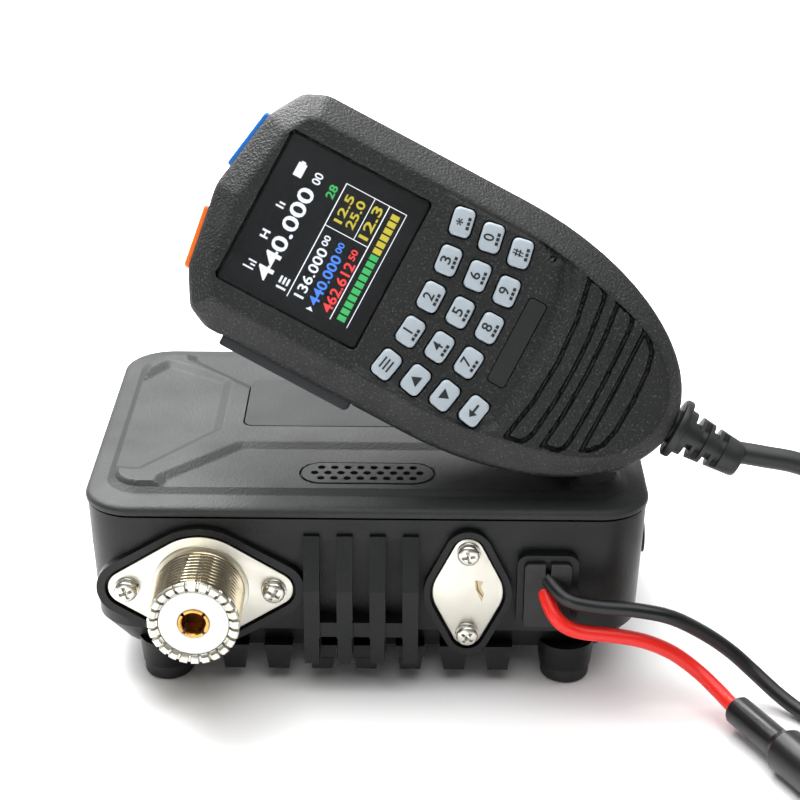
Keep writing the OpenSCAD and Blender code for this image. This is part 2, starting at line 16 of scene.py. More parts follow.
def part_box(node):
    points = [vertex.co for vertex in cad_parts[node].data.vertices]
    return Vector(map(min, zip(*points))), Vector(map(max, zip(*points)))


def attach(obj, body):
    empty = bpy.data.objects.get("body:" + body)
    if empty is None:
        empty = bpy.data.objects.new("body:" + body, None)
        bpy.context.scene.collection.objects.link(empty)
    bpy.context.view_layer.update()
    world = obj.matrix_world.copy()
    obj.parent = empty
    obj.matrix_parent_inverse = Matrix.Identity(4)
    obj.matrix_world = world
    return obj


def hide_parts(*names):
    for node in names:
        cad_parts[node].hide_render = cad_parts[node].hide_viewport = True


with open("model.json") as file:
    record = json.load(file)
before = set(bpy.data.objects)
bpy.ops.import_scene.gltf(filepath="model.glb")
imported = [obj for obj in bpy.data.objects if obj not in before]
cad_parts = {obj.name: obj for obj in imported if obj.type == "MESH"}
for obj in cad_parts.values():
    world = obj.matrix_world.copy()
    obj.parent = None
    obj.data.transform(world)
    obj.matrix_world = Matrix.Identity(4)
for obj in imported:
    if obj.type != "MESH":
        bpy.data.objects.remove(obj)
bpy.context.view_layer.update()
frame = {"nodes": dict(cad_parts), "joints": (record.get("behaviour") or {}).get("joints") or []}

MM = 0.001

# %% [markdown]
# ## Two frames of reference
# The base unit is drawn in millimetres from the middle of its connector face, at the floor. The
# microphone has a frame of its own: X to the reader's right, Y up its face and Z out of it. Both
# come from the CAD model, the second one from the way its keys travel and its talk key turns, so
# nothing here has to be fitted by eye.

# %% Base and microphone frames
cover_low, cover_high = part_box("top_cover")
BASE = Matrix.Translation(((cover_low.x + cover_high.x) / 2, cover_low.y, 0)) @ Matrix.Scale(MM, 4)
JOINTS = {joint["name"]: joint for joint in frame["joints"]}
mic_out = -Vector(JOINTS["key_2_press"]["axis"]).normalized()
mic_up = -Vector(JOINTS["blue_key_press"]["axis"]).normalized()
mic_right = mic_up.cross(mic_out)
PTT_HINGE = (-22, 29.6, 0)
mic_axes = Matrix((mic_right, mic_up, mic_out)).transposed().to_4x4()
hinge_at = Vector(JOINTS["ptt_press"]["pos_m"])
to_hinge = Matrix.Translation(-Vector(PTT_HINGE))
MIC = Matrix.Translation(hinge_at) @ mic_axes @ Matrix.Scale(MM, 4) @ to_hinge
print("microphone's middle, mm:", [round(v / MM, 1) for v in MIC.translation])


def on_base(x, y, z):
    return BASE @ Vector((x, y, z))


# %% [markdown]
# ## The camera
# A long lens looks down on the connector face at about 25 degrees, almost square on. A long lens
# stands far back, so near and far edges keep nearly the same scale. Angles are in radians.

# %% Camera
LENS_MM = 89.0
CAMERA_AT = (8.3, -303.8, 196.5)
PITCH = 0.431
PAN = 0.008
ROLL = 0.005
camera_data = bpy.data.cameras.new("camera")
camera_data.lens = LENS_MM
camera_data.sensor_width = 36
camera_data.clip_start = 0.01
camera = bpy.data.objects.new("camera", camera_data)
bpy.context.scene.collection.objects.link(camera)
camera.matrix_world = (
    Matrix.Translation(on_base(*CAMERA_AT))
    @ Matrix.Rotation(PAN, 4, "Z")
    @ Matrix.Rotation(math.pi / 2 - PITCH, 4, "X")
    @ Matrix.Rotation(ROLL, 4, "Z")
)
bpy.context.scene.camera = camera
print("camera at, mm:", [round(v / MM, 1) for v in camera.matrix_world.translation])

# %% [markdown]
# ## Finishes
# Every finish is made in the same way: two close colours in soft patches, a roughness that drifts
# with them and, where the real thing has one, a grain that catches the light. Sizes are in
# millimetres of the real surface, so one finish looks the same on a big part and on a small one.
# Real grain is often finer than 0.3 mm. There it is drawn about 0.3 to 0.5 mm wide, as coarse as it
# has to be to show at this distance.

# %% From screen colour to linear
def linear(hex_colour):
    """A screen colour such as #777874 as the linear colour that a shader takes."""
    parts = [int(hex_colour[k:k + 2], 16) / 255 for k in (1, 3, 5)]
    return (*[c / 12.92 if c <= 0.04045 else ((c + 0.055) / 1.055) ** 2.4 for c in parts], 1)


print("mid grey, linear:", round(linear("#808080")[0], 3))

# %% [markdown]
# A material is a small graph. One function adds any node, sets it up and joins it to the nodes
# that feed it, so that each finish below reads as a list of what it is made of.

# %% One function for any node


def add_node(tree, kind, settings=None, links=None):
    """A shader node with its settings, and with the outputs that feed its inputs."""
    node = tree.nodes.new(kind if kind.startswith(("Geometry", "Node")) else "ShaderNode" + kind)
    for key, value in (settings or {}).items():
        if isinstance(key, str) and hasattr(node, key):
            setattr(node, key, value)
        else:
            node.inputs[key].default_value = value
    for key, output in (links or {}).items():
        tree.links.new(output, node.inputs[key])
    return node


# %% [markdown]
# A moulded or cast surface is never one even colour. A slow noise drifts between two close colours
# and moves the roughness with them, a finer noise makes the grain as a bump, and pale specks are
# painted glints, the highlights that the tips of a coarse texture catch.

# %% A surface finish


def finish(name, light, dark, patch_mm, rough, swing=0.06, grain=None, painted_glints=None, **surface):
    """A surface finish. grain is (size mm, depth mm) and painted_glints is (colour, size mm, share): pale
    specks painted as highlights on the tips of the grain.
    """
    material = bpy.data.materials.new(name)
    material.use_nodes = True
    tree = material.node_tree
    tree.nodes.clear()
    place = add_node(tree, "TexCoord").outputs["Object"]
    patches = add_node(tree, "TexNoise", {"Scale": 1 / (patch_mm * MM), "Detail": 4}, {"Vector": place})
    drift = patches.outputs["Fac"]
    colour = add_node(tree, "Mix", {"data_type": "RGBA", 6: linear(light), 7: linear(dark)}, {0: drift})
    colour = colour.outputs[2]
    spread = {"From Min": 0.3, "From Max": 0.7, "To Min": rough - swing, "To Max": rough + swing}
    links = {"Roughness": add_node(tree, "MapRange", spread, {"Value": drift}).outputs["Result"]}
    # Pale specks: painted glints that stand in for light catching the tips of the grain.
    if painted_glints:
        glint_colour, size, share = painted_glints
        dots = add_node(tree, "TexNoise", {"Scale": 1 / (size * MM), "Detail": 1}, {"Vector": place})
        edge = {"From Min": 0.72 - share, "From Max": 0.78 - share}
        mask = add_node(tree, "MapRange", edge, {"Value": dots.outputs["Fac"]}).outputs["Result"]
        mixed = add_node(tree, "Mix", {"data_type": "RGBA", 7: linear(glint_colour)}, {0: mask, 6: colour})
        colour = mixed.outputs[2]
    if grain:
        size, depth = grain
        bumps = add_node(tree, "TexNoise", {"Scale": 1 / (size * MM), "Detail": 2}, {"Vector": place})
        bump = add_node(tree, "Bump", {"Distance": depth * MM}, {"Height": bumps.outputs["Fac"]})
        links["Normal"] = bump.outputs["Normal"]
    links["Base Color"] = colour
    shader = add_node(tree, "BsdfPrincipled", surface, links)
    add_node(tree, "OutputMaterial", None, {"Surface": shader.outputs["BSDF"]})
    return material


def light_ink(name, colour, strength):
    """A lit part of the display: it glows and reflects almost nothing."""
    glow = {"Emission Color": linear(colour), "Emission Strength": strength}
    return finish(name, "#050505", "#060606", 2, 0.5, **glow)


# %% [markdown]
# ## The base unit's finishes
# The housing, the lid, the plated metal and the rubber differ most in how they meet the light:
# powder coat softens it, a spark-textured lid scatters it and nickel mirrors it.

# %% Housing and lid
# Powder coat on die-cast aluminium: near-black, with an orange-peel that softens its highlights.
die_cast_black = finish(
    "die_cast_black", "#070909", "#040606", 9, 0.44, grain=(0.5, 0.04), **{"Specular IOR Level": 0.3})
# Spark-textured ABS of the cover: dark grey, matt, a fine even grain.
cover_abs = finish(
    "cover_abs", "#292b2a", "#232524", 14, 0.55, 0.05, (0.45, 0.08), **{"Specular IOR Level": 0.3})
# The inlay and the grille are satin, and a shade darker than the cover.
inlay_abs = finish(
    "inlay_abs", "#252727", "#202222", 16, 0.58, 0.04, (0.3, 0.05), **{"Specular IOR Level": 0.25})
grille_abs = finish(
    "grille_abs", "#252727", "#202222", 12, 0.55, 0.05, (0.4, 0.05), **{"Specular IOR Level": 0.3})

# %% [markdown]
# Plated and polished metal takes its colour from its reflections, so these are full metals that
# differ in tint and in how rough they are. The insulator between them is waxy and white.

# %% Metal and insulator
# Bright nickel over brass: clean reflections with faint hazy patches from handling.
nickel = finish("nickel", "#d6d4ca", "#c8c5ba", 5, 0.36, 0.06, Metallic=1.0)
# The same plating in the thread, where oil and dust warm it.
warm_nickel = finish("warm_nickel", "#d3cab4", "#b9ab8a", 3, 0.22, 0.06, Metallic=1.0)
# Zinc-plated steel screws: bright, with a faint cloud.
screw_steel = finish("screw_steel", "#dbdad2", "#bfbdb4", 2, 0.27, 0.08, Metallic=1.0)
# An old scuff on the blank plate: a tan film, and a dark score where the plating is cut through.
scuff_film = finish("scuff_film", "#c9bd9f", "#a8936a", 0.9, 0.5, 0.1, Metallic=0.6)
score_dark = finish("score_dark", "#5a4a30", "#8a7650", 0.5, 0.6)
# Turned PTFE: white, waxy and soft-looking.
ptfe = finish("ptfe", "#eeeeea", "#dedfda", 4, 0.45, grain=(0.8, 0.01))
# Gold-flashed brass, and a darker brown for the bore: painted shade deep inside the contact.
gilt = finish("gilt", "#dcae62", "#a8783c", 2, 0.25, 0.08, Metallic=1.0)
bore_painted_shade = finish("bore_painted_shade", "#7a5428", "#4a3218", 2, 0.4, Metallic=1.0)

# %% [markdown]
# The soft parts are all black or red, and only their gloss tells them apart: rubber is matt, the
# vinyl of the leads is shiny and the jacket of the cord lies between.

# %% Rubber, leads and cord
# Moulded rubber: black, matt, slightly dusty.
rubber = finish("rubber", "#0d0f10", "#090b0b", 5, 0.55, grain=(0.3, 0.02))
# Leads: plasticised PVC with a smooth, glossy skin.
red_pvc = finish("red_pvc", "#f0241a", "#e81e14", 12, 0.38, grain=(0.5, 0.01))
# The black one is the same compound, so only its colour changes.
black_pvc = finish("black_pvc", "#0c0f12", "#0a0c0e", 12, 0.4, grain=(0.5, 0.01))
# Polyamide of the fuse holder: black, smooth, with the faint waves of a thick moulding.
fuse_plastic = finish("fuse_plastic", "#0c0d0e", "#090a0b", 8, 0.33, grain=(1.4, 0.02))
# The microphone's cord has a matt jacket, and its relief is the same rubber, moulded finer.
cord_jacket = finish("cord_jacket", "#191b1c", "#141617", 10, 0.45, grain=(0.5, 0.02))
relief_rubber = finish("relief_rubber", "#191c1d", "#141718", 5, 0.45, grain=(0.3, 0.01))

# %% [markdown]
# ## The microphone's finishes
# The shell is coarse and matt so that a hand can hold it. The keys and the window are smooth, and
# they are what the eye goes to.

# %% Shell and keys
# The microphone's shell: glass-filled nylon, coarse spark texture; its pale specks are painted glints on the
# tips.
shell_nylon = finish(
    "shell_nylon", "#0f1111", "#0a0c0c", 6, 0.5, 0.07, (0.45, 0.16), ("#383c38", 0.35, 0.1),
    **{"Specular IOR Level": 0.42})
# The talk key is ABS, a little lighter and finer than the shell round it.
ptt_plastic = finish("ptt_plastic", "#25292b", "#1f2325", 7, 0.45, grain=(0.5, 0.02))
# Self-coloured ABS of the two top keys: smooth and half glossy.
blue_plastic = finish("blue_plastic", "#0c6cc4", "#0a60b4", 6, 0.35)
orange_plastic = finish("orange_plastic", "#f0701c", "#e46414", 6, 0.35)
# Keys: pale translucent silicone under a hard clear coat, with printed dark legends.
key_silicone = finish("key_silicone", "#aab4bb", "#9aa5ad", 3, 0.35, grain=(0.5, 0.01))
legend_ink = finish("legend_ink", "#14171a", "#101315", 3, 0.5)

# %% [markdown]
# The display is a black panel under a clear window. Its signs give light of their own, so they
# stay bright in the shade, as on a real backlit display. Inner parts are seen through gaps only.

# %% Display, plug and inner parts
# Display: black panel behind a clear, glossy acrylic window.
panel_black = finish("panel_black", "#0d1013", "#0a0d10", 8, 0.35)
window_acrylic = finish(
    "window_acrylic", "#ffffff", "#fbfdff", 8, 0.03, 0.01,
    **{"Transmission Weight": 1.0, "Specular IOR Level": 0.3})
# Clear polycarbonate of the modular plug: glossy, with a cool edge.
clear_plug = finish("clear_plug", "#e8f0f4", "#dce6ea", 5, 0.12, 0.03, **{"Transmission Weight": 0.85})
# Solder mask over glass-epoxy board.
board_green = finish("board_green", "#0d5c33", "#0a4d2a", 6, 0.35)
# Unglazed alumina, and the fuse's body: pale and chalky.
ceramic = finish("ceramic", "#c9c3b4", "#b9b3a3", 5, 0.6)
# Turned brass of the bracket's inserts.
brass = finish("brass", "#c9a860", "#ab8a48", 3, 0.3, 0.08, Metallic=1.0)
# Glass-filled polyester of the sockets: black with a slight sheen.
jack_black = finish("jack_black", "#101213", "#0c0e0f", 5, 0.35)
# Lit signs of the display, each its own colour.
WHITE_LIT = light_ink("white_lit", "#f4f8ff", 1.15)
BLUE_LIT = light_ink("blue_lit", "#4f8fff", 1.15)
RED_LIT = light_ink("red_lit", "#ff4848", 1.15)
GREEN_LIT = light_ink("green_lit", "#4fe07a", 0.8)
YELLOW_LIT = light_ink("yellow_lit", "#f2e24a", 0.8)
print("finishes in all:", len(bpy.data.materials))

# %% [markdown]
# ## The cords
# Two supply leads come out of the grommet, drop to the floor and run to a neat coil. The
# microphone's cord leaves its relief, falls to the floor and is coiled too. Each is one smooth
# curve: the loose stretch goes through a few listed points, and a loop makes the turns.

# %% Routes
LEAD_D = 2.7
CORD_D = 4.0
LEAD_COIL_AT = (113, -38)
LEAD_COIL_R = 16
MIC_COIL_AT = (122, 26)
MIC_COIL_R = 24
COIL_STEPS = 20
RED_ROUTE = [
    (31.4, -1, 20.6), (33.4, -4.6, 17.2), (37, -5, 14.8), (43.5, -5, 13.9), (49, -4.6, 12.6),
    (54.4, -4, 9.8), (59, -5, 6.6), (62.5, -8.6, 4.6), (64.8, -12.8, 4), (72, -26.3, 4),
    (80, -41.4, 4), (88.3, -57, 4), (90.8, -61, 3), (95.5, -64.4, 1.6), (102, -63, 1.4),
    (107, -59.6, 1.4),
]
RED_TAIL = [(119, -58.8, 3.8), (126, -61.4, 2.8), (131, -63.6, 2.3), (133, -64.5, 2.3)]
BLACK_ROUTE = [
    (31.9, -1, 23), (35, -4.6, 21), (40, -5, 19.8), (47, -4.8, 19), (53.7, -4.2, 17.2),
    (60, -2.6, 13), (65, -2, 9), (69, -3, 5.6), (74, -7.2, 2.6), (79, -12.4, 1.4),
    (86, -19.4, 1.4), (91.4, -27.4, 3),
]
BLACK_TAIL = [
    (119, -57.4, 8.8), (126, -54.6, 6), (132, -51, 3.2), (136, -48.4, 2.3), (138, -47.2, 2.3),
]
CORD_ROUTE = [
    (62, 8, 44), (65.3, 7.9, 43.6), (70, 7.6, 42.9), (76, 7.2, 41.8), (83, 5.8, 39), (90, 3, 34),
    (97, -1.4, 26), (103, -6, 17.4), (108, -9, 9.6), (113, -9.2, 4.4), (118, -6.6, 2.2),
]
CORD_TAIL = [(136.4, 0.4, 9.6), (141, 4.4, 11), (145, 9.4, 12.1), (146, 13, 12.1), (146, 16, 12.1)]

print("coil radii, mm:", LEAD_COIL_R, MIC_COIL_R)

# %% [markdown]
# The hidden length is wound as for storage. Three turns wind inwards on the floor, and the next
# ones wind outwards on top of them, a diameter apart.

# %% Coils


def coil(middle, mean_r, d, low_z, start_deg, turns_out):
    """Three turns winding inwards, then turns_out winding outwards on top of them."""
    points = []
    for layer, turns in ((0, 3), (1, turns_out)):
        steps = round(turns * COIL_STEPS)
        for k in range(steps + layer):
            part = k / steps
            reach = mean_r + 1.5 * d * (1 - 2 * part) * (1 - 2 * layer)
            angle = math.radians(start_deg + 1080 * layer + part * turns * 360)
            lift = min(max((part * turns * COIL_STEPS - 2) / 6, 0), 1) if layer else 0
            z = low_z + d * (0.5 + lift)
            points.append((middle[0] + reach * math.cos(angle), middle[1] + reach * math.sin(angle), z))
    return points


def smooth(points, steps):
    """Points along the curve that runs smoothly through the given ones."""
    p = [Vector(q) for q in points]
    last = len(p) - 1
    line = []
    for i in range(last):
        a, b, c, d = p[max(i - 1, 0)], p[i], p[i + 1], p[min(i + 2, last)]
        for k in range(steps):
            t = k / steps
            line.append(0.5 * (2 * b + (c - a) * t + (2 * a - 5 * b + 4 * c - d) * t**2
                               + (3 * b - a - 3 * c + d) * t**3))
    return line + [p[last]]


# %% [markdown]
# A curve with a round bevel is a cord: its spline is the centre line, and the bevel is its radius.
# No point is let lower than that radius, so the cord lies on the floor and never in it.

# %% A cord


def cord_curve(name, points, d, jacket):
    """A round cord as one open spline; its length is printed in metres."""
    line = [BASE @ Vector((q.x, q.y, max(q.z, d / 2))) for q in smooth(points, 4)]
    data = bpy.data.curves.new(name, "CURVE")
    data.dimensions = "3D"
    data.bevel_depth = d / 2 * MM
    data.bevel_resolution = 5
    data.materials.append(jacket)
    data.use_fill_caps = True
    spline = data.splines.new("POLY")
    spline.points.add(len(line) - 1)
    for point, place in zip(spline.points, line):
        point.co = (*place, 1)
    spline.use_smooth = True
    piece = bpy.data.objects.new(name, data)
    bpy.context.scene.collection.objects.link(piece)
    length = sum((b - a).length for a, b in zip(line, line[1:]))
    print(name, "length, m:", round(length, 3))
    return piece


# %% [markdown]
# The red lead carries the fuse holder and lies lowest in the coil; the black one is wound on top of
# it. The microphone's cord has a coil of its own, wider because the cord is stiffer.

# %% The three cords
red_lead = cord_curve(
    "red_supply_lead",
    RED_ROUTE + coil(LEAD_COIL_AT, LEAD_COIL_R, LEAD_D, 0, -90, 3) + RED_TAIL,
    LEAD_D, red_pvc)
black_lead = cord_curve(
    "black_supply_lead",
    BLACK_ROUTE + coil(LEAD_COIL_AT, LEAD_COIL_R, LEAD_D, 2 * LEAD_D, 180, 3.25) + BLACK_TAIL,
    LEAD_D, black_pvc)
mic_cord = cord_curve(
    "microphone_cord",
    CORD_ROUTE + coil(MIC_COIL_AT, MIC_COIL_R, CORD_D, 0, -90, 3) + CORD_TAIL,
    CORD_D, cord_jacket)

# %% [markdown]
# ## Tools for making pieces
# Three shapes make nearly everything: rings joined into a skin, as for a turned or drafted part; a
# height field, as for a moulded face with ribs and grooves; and printed marks. A piece is put
# together from such parts in millimetres, and rides on the body that it belongs to.

# %% Putting a piece together
PLACES = {"base_unit": np.array(BASE), "hand_microphone": np.array(MIC)}
MIC_X = -0.4


def new_piece(name, body, parts, stands_for=(), place=None, sharp_deg=33):
    """One object from parts, each (points in mm, faces, finish), riding on a body."""
    points, faces, which, used = [], [], [], []
    count = 0
    for part_points, part_faces, surface in parts:
        if surface not in used:
            used.append(surface)
        points.append(np.asarray(part_points, float))
        faces += [[int(i) + count for i in face] for face in part_faces]
        which += [used.index(surface)] * len(part_faces)
        count += len(part_points)
    to_world = PLACES[body] if place is None else place
    world_points = np.vstack(points) @ to_world[:3, :3].T + to_world[:3, 3]
    mesh = bpy.data.meshes.new(name)
    mesh.from_pydata(world_points.tolist(), [], faces)
    for surface in used:
        mesh.materials.append(surface)
    mesh.polygons.foreach_set("material_index", which)
    mesh.polygons.foreach_set("use_smooth", [True] * len(faces))
    mesh.set_sharp_from_angle(angle=math.radians(sharp_deg))
    piece = bpy.data.objects.new(name, mesh)
    bpy.context.scene.collection.objects.link(piece)
    if stands_for:
        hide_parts(*stands_for)
    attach(piece, body)
    print(name, "faces:", len(faces))
    return piece


# %% [markdown]
# A skin joins rings that have the same number of points, as ribs carry a hull. A turned part is
# such a skin whose rings are circles, made from a profile like one for a lathe.

# %% Skins and turned parts


def skin(rings, surface, cap_low=False, cap_high=False):
    """A skin over rings of equal length, each ring anticlockwise seen from the last one's side."""
    n = len(rings[0])
    faces = []
    for i in range(len(rings) - 1):
        for k in range(n):
            a, b = i * n + k, i * n + (k + 1) % n
            faces.append((a, b, b + n, a + n))
    if cap_low:
        faces.append(tuple(range(n - 1, -1, -1)))
    if cap_high:
        faces.append(tuple(range(len(rings) * n - n, len(rings) * n)))
    return np.vstack(rings), faces, surface


def turned(profile, surface, sides=64, shape=None):
    """A turned part round Z: profile is (radius, z) pairs; shape(radius, angle, z) may change it."""
    angle = np.arange(sides) * 2 * math.pi / sides
    rings = []
    for r, z in profile:
        radius, height = np.full(sides, r), np.full(sides, z)
        if shape:
            radius, height = shape(radius, angle, z)
        rings.append(np.stack([radius * np.cos(angle), radius * np.sin(angle), height], 1))
    return skin(rings, surface)


def moved(part, x=0, y=0, z=0, turn_z=0, tip_x=0):
    """The part tipped about X, turned about Z and moved."""
    points, faces, surface = part
    about = Matrix.Rotation(math.radians(turn_z), 3, "Z") @ Matrix.Rotation(math.radians(tip_x), 3, "X")
    return np.asarray(points) @ np.array(about).T + (x, y, z), faces, surface


# %% [markdown]
# A distance from an outline says how far each point is outside it, and less than zero means inside.
# Grooves, pockets and slopes are all written with such distances.

# %% Distances from outlines


def box_distance(p, middle, size, r):
    """Distance outside a rounded rectangle, less than zero inside it."""
    q = np.abs(p - np.array(middle)) - (np.array(size) / 2 - r)
    return np.hypot(*np.maximum(q, 0).T) + np.minimum(q.max(1), 0) - r


def shape_distance(p, corners):
    """Distance outside a polygon, less than zero inside it."""
    a = np.asarray(corners, float)
    b = np.roll(a, -1, 0)
    side = b - a
    reach = np.full(len(p), 1e9)
    inside = np.zeros(len(p), bool)
    for (ax, ay), (bx, by), (sx, sy) in zip(a, b, side):
        wx, wy = p[:, 0] - ax, p[:, 1] - ay
        t = np.clip((wx * sx + wy * sy) / (sx * sx + sy * sy), 0, 1)
        reach = np.minimum(reach, np.hypot(wx - t * sx, wy - t * sy))
        crosses = (ay > p[:, 1]) != (by > p[:, 1])
        inside ^= crosses & (wx < sx * wy / (sy if sy else 1e-9))
    return np.where(inside, -reach, reach)


def pulled(p, distance, near):
    """Points moved onto the line where distance is 0, if near says so."""
    nudge = 1e-3
    d = distance(p)
    gx = (distance(p + (nudge, 0)) - distance(p - (nudge, 0))) / (2 * nudge)
    gy = (distance(p + (0, nudge)) - distance(p - (0, nudge))) / (2 * nudge)
    length = np.maximum(gx * gx + gy * gy, 0.2)
    pick = near(d)
    p[pick] -= (d / length)[pick, None] * np.stack([gx, gy], 1)[pick]
    return p


# %% [markdown]
# A height field is a grid whose points are raised. A plain grid would cut a curved edge into
# stairs, so points near an edge are pulled onto it before the grid is trimmed.

# %% Height fields


def height_field(low, high, cell, edge, height, surface, lines=()):
    """A surface z = height inside edge < 0, with points pulled onto the edge and onto the lines."""
    nx = int((high[0] - low[0]) / cell) + 2
    ny = int((high[1] - low[1]) / cell) + 2
    x, y = np.meshgrid(low[0] + cell * np.arange(nx), low[1] + cell * np.arange(ny), indexing="ij")
    p = np.stack([x.ravel(), y.ravel()], 1)
    first = edge(p)
    for line in lines:
        p = pulled(p, line, lambda d: (np.abs(d) < 0.5 * cell) & (first < -cell))
    p = pulled(p, edge, lambda d: (d > -0.3 * cell) & (d < 2.5 * cell))
    index = np.arange(nx * ny).reshape(nx, ny)
    quads = np.stack([index[:-1, :-1], index[1:, :-1], index[1:, 1:], index[:-1, 1:]], -1).reshape(-1, 4)
    quads = quads[(first[quads] < -0.3 * cell).any(1)]
    used, faces = np.unique(quads, return_inverse=True)
    p = p[used]
    return np.column_stack([p, height(p)]), faces.reshape(-1, 4).tolist(), surface


def step(t):
    """0 below 0, 1 above 1 and smooth in between."""
    t = np.clip(t, 0, 1)
    return t * t * (3 - 2 * t)


# %% [markdown]
# Printed signs are flat meshes just above their surface: digits come from Blender's own letter
# outlines, and bars and arrows are plain shapes.

# %% Printed signs


def mark(text, height, x, y, z, surface, width, turn=0, bold=0.0):
    """A printed digit or sign of that height and width, lying flat at z and centred on (x, y)."""
    curve = bpy.data.curves.new("mark", "FONT")
    curve.body = text
    curve.size = 1
    curve.offset = bold
    curve.align_x = "CENTER"
    curve.resolution_u = 3
    carrier = bpy.data.objects.new("mark", curve)
    bpy.context.scene.collection.objects.link(carrier)
    bpy.context.view_layer.update()
    depsgraph = bpy.context.evaluated_depsgraph_get()
    mesh = bpy.data.meshes.new_from_object(carrier.evaluated_get(depsgraph))
    points = np.array([v.co[:] for v in mesh.vertices])
    faces = [tuple(f.vertices) for f in mesh.polygons]
    bpy.data.objects.remove(carrier)
    bpy.data.curves.remove(curve)
    bpy.data.meshes.remove(mesh)
    tall = np.ptp(points[:, 1])
    points[:, 1] -= points[:, 1].min() + tall / 2
    points[:, 0] -= (points[:, 0].min() + points[:, 0].max()) / 2
    points *= height / tall
    points[:, 0] *= width / np.ptp(points[:, 0])
    return moved((points, faces, surface), x, y, z, turn_z=turn)


def patch(x0, y0, x1, y1, z, surface):
    """A flat printed rectangle."""
    return [(x0, y0, z), (x1, y0, z), (x1, y1, z), (x0, y1, z)], [(0, 1, 2, 3)], surface


def outline_patch(corners, z, surface):
    """A flat printed shape with these corners, anticlockwise."""
    return [(x, y, z) for x, y in corners], [tuple(range(len(corners)))], surface


# %% [markdown]
# ## The CAD parts that keep their shape
# Where the CAD solid is already right, it stays: its sharp arrises are broken with a small bevel,
# as every cast or moulded part has them, and it gets its finish. The second value of each entry is
# the bevel's width in millimetres, and 0 leaves a hidden part as it is.

# %% Finishes of the CAD parts
CAD_FINISH = {
    "chassis": (die_cast_black, 0.35), "rear_panel": (die_cast_black, 0.2),
    "cover_plate": (inlay_abs, 0.15),
    "speaker_grille": (grille_abs, 0.08), "speaker": (screw_steel, 0), "main_board": (board_green, 0),
    "power_module": (ceramic, 0.2), "antenna_insulator": (ptfe, 0.15), "cable_grommet": (rubber, 0.3),
    "rubber_feet": (rubber, 0.3), "case_screws": (screw_steel, 0.1), "mic_jack": (jack_black, 0.15),
    "audio_jack": (jack_black, 0.15), "bracket_inserts": (brass, 0.1), "fuse_cap": (fuse_plastic, 0.25),
    "fuse_body": (fuse_plastic, 0.25), "fuse": (ceramic, 0), "red_terminal": (red_pvc, 0.15),
    "black_terminal": (black_pvc, 0.15), "display_window": (window_acrylic, 0.12),
    "display_panel": (panel_black, 0),
    "keypad_board": (board_green, 0), "badge": (inlay_abs, 0.15), "mic_capsule": (screw_steel, 0),
    "mic_plug": (clear_plug, 0.25), "handset_screws": (screw_steel, 0.12), "hanger_stud": (nickel, 0.25),
    "ptt_key": (ptt_plastic, 0.7), "blue_key": (blue_plastic, 0.5), "orange_key": (orange_plastic, 0.5),
}
print("CAD parts to keep:", len(CAD_FINISH))

# %% [markdown]
# A CAD mesh is made of flat facets. One modifier group shades them as one round wall, and keeps an
# edge sharp where two faces meet at more than CREASE_DEG.

# %% Smooth walls and sharp edges
CREASE_DEG = 13
WELD_MM = 0.002
BEVEL_FROM_DEG = 35
shading = bpy.data.node_groups.new("shading", "GeometryNodeTree")
shading.interface.new_socket("Geometry", in_out="INPUT", socket_type="NodeSocketGeometry")
shading.interface.new_socket("Geometry", in_out="OUTPUT", socket_type="NodeSocketGeometry")
solid = add_node(shading, "NodeGroupInput").outputs["Geometry"]
soft = add_node(shading, "GeometryNodeSetShadeSmooth", {"domain": "FACE"}, {"Geometry": solid})
bent = add_node(shading, "GeometryNodeInputMeshEdgeAngle").outputs["Unsigned Angle"]
sharp = add_node(shading, "Math", {"operation": "GREATER_THAN", 1: math.radians(CREASE_DEG)}, {0: bent})
crisp = add_node(shading, "GeometryNodeSetShadeSmooth", {"domain": "EDGE", "Shade Smooth": False},
                 {"Geometry": soft.outputs["Geometry"], "Selection": sharp.outputs["Value"]})
add_node(shading, "NodeGroupOutput", None, {"Geometry": crisp.outputs["Geometry"]})
print("shading nodes:", len(shading.nodes))

# %% [markdown]
# Points that coincide are welded first, because a bevel can only round an edge whose two faces
# really meet. Modifiers leave the CAD mesh itself as it is.

# %% Finish and bevel each kept part
for node_name, (surface, bevel_mm) in CAD_FINISH.items():
    cad_part = frame["nodes"][node_name]
    for k in range(len(cad_part.material_slots)):
        cad_part.material_slots[k].link = "OBJECT"
        cad_part.material_slots[k].material = surface
    if bevel_mm:
        weld = cad_part.modifiers.new("weld", "WELD")
        weld.merge_threshold = WELD_MM * MM
        bevel = cad_part.modifiers.new("bevel", "BEVEL")
        bevel.width = bevel_mm * MM
        bevel.segments = 3
        bevel.limit_method = "ANGLE"
        bevel.angle_limit = math.radians(BEVEL_FROM_DEG)
        rounding = cad_part.modifiers.new("shading", "NODES")
        rounding.node_group = shading
print("CAD parts kept:", len(CAD_FINISH))

# %% [markdown]
# ## The cover
# The cover is a moulded lid in steps: a rounded rim, a ledge all round, a slope up to four fields,
# and another slope up to a plateau in the shape of a cross, whose arms run out to the corners. A
# few booleans could cut it, but a height field gives clean, even faces and slopes of any width.

# %% Outlines of the cover
BODY_W = 100
BODY_D = 70
COVER_TOP = 37.6
FIELD_Z = 36.75
FIELD_SLOPE = 2.0
EDGE_SLOPE = 0.8
INLAY_DEEP = 0.88
GRILLE_DEEP = 1.1
ON_EDGE = 0.02
SIDE_FIELD = np.array([(-45, 14.2), (-41.5, 13.4), (-29.4, 29), (-29.4, 50.4), (-40.5, 58.1), (-45, 51)])
CROSS_FIELD = np.array([(-36.6, 2), (36.6, 2), (35.4, 8.6), (23, 21.4), (-23, 21.4), (-35.4, 8.6)])
FIELDS = [SIDE_FIELD, SIDE_FIELD * (-1, 1), CROSS_FIELD, CROSS_FIELD * (1, -1) + (0, BODY_D)]
print("fields of the cover:", len(FIELDS))


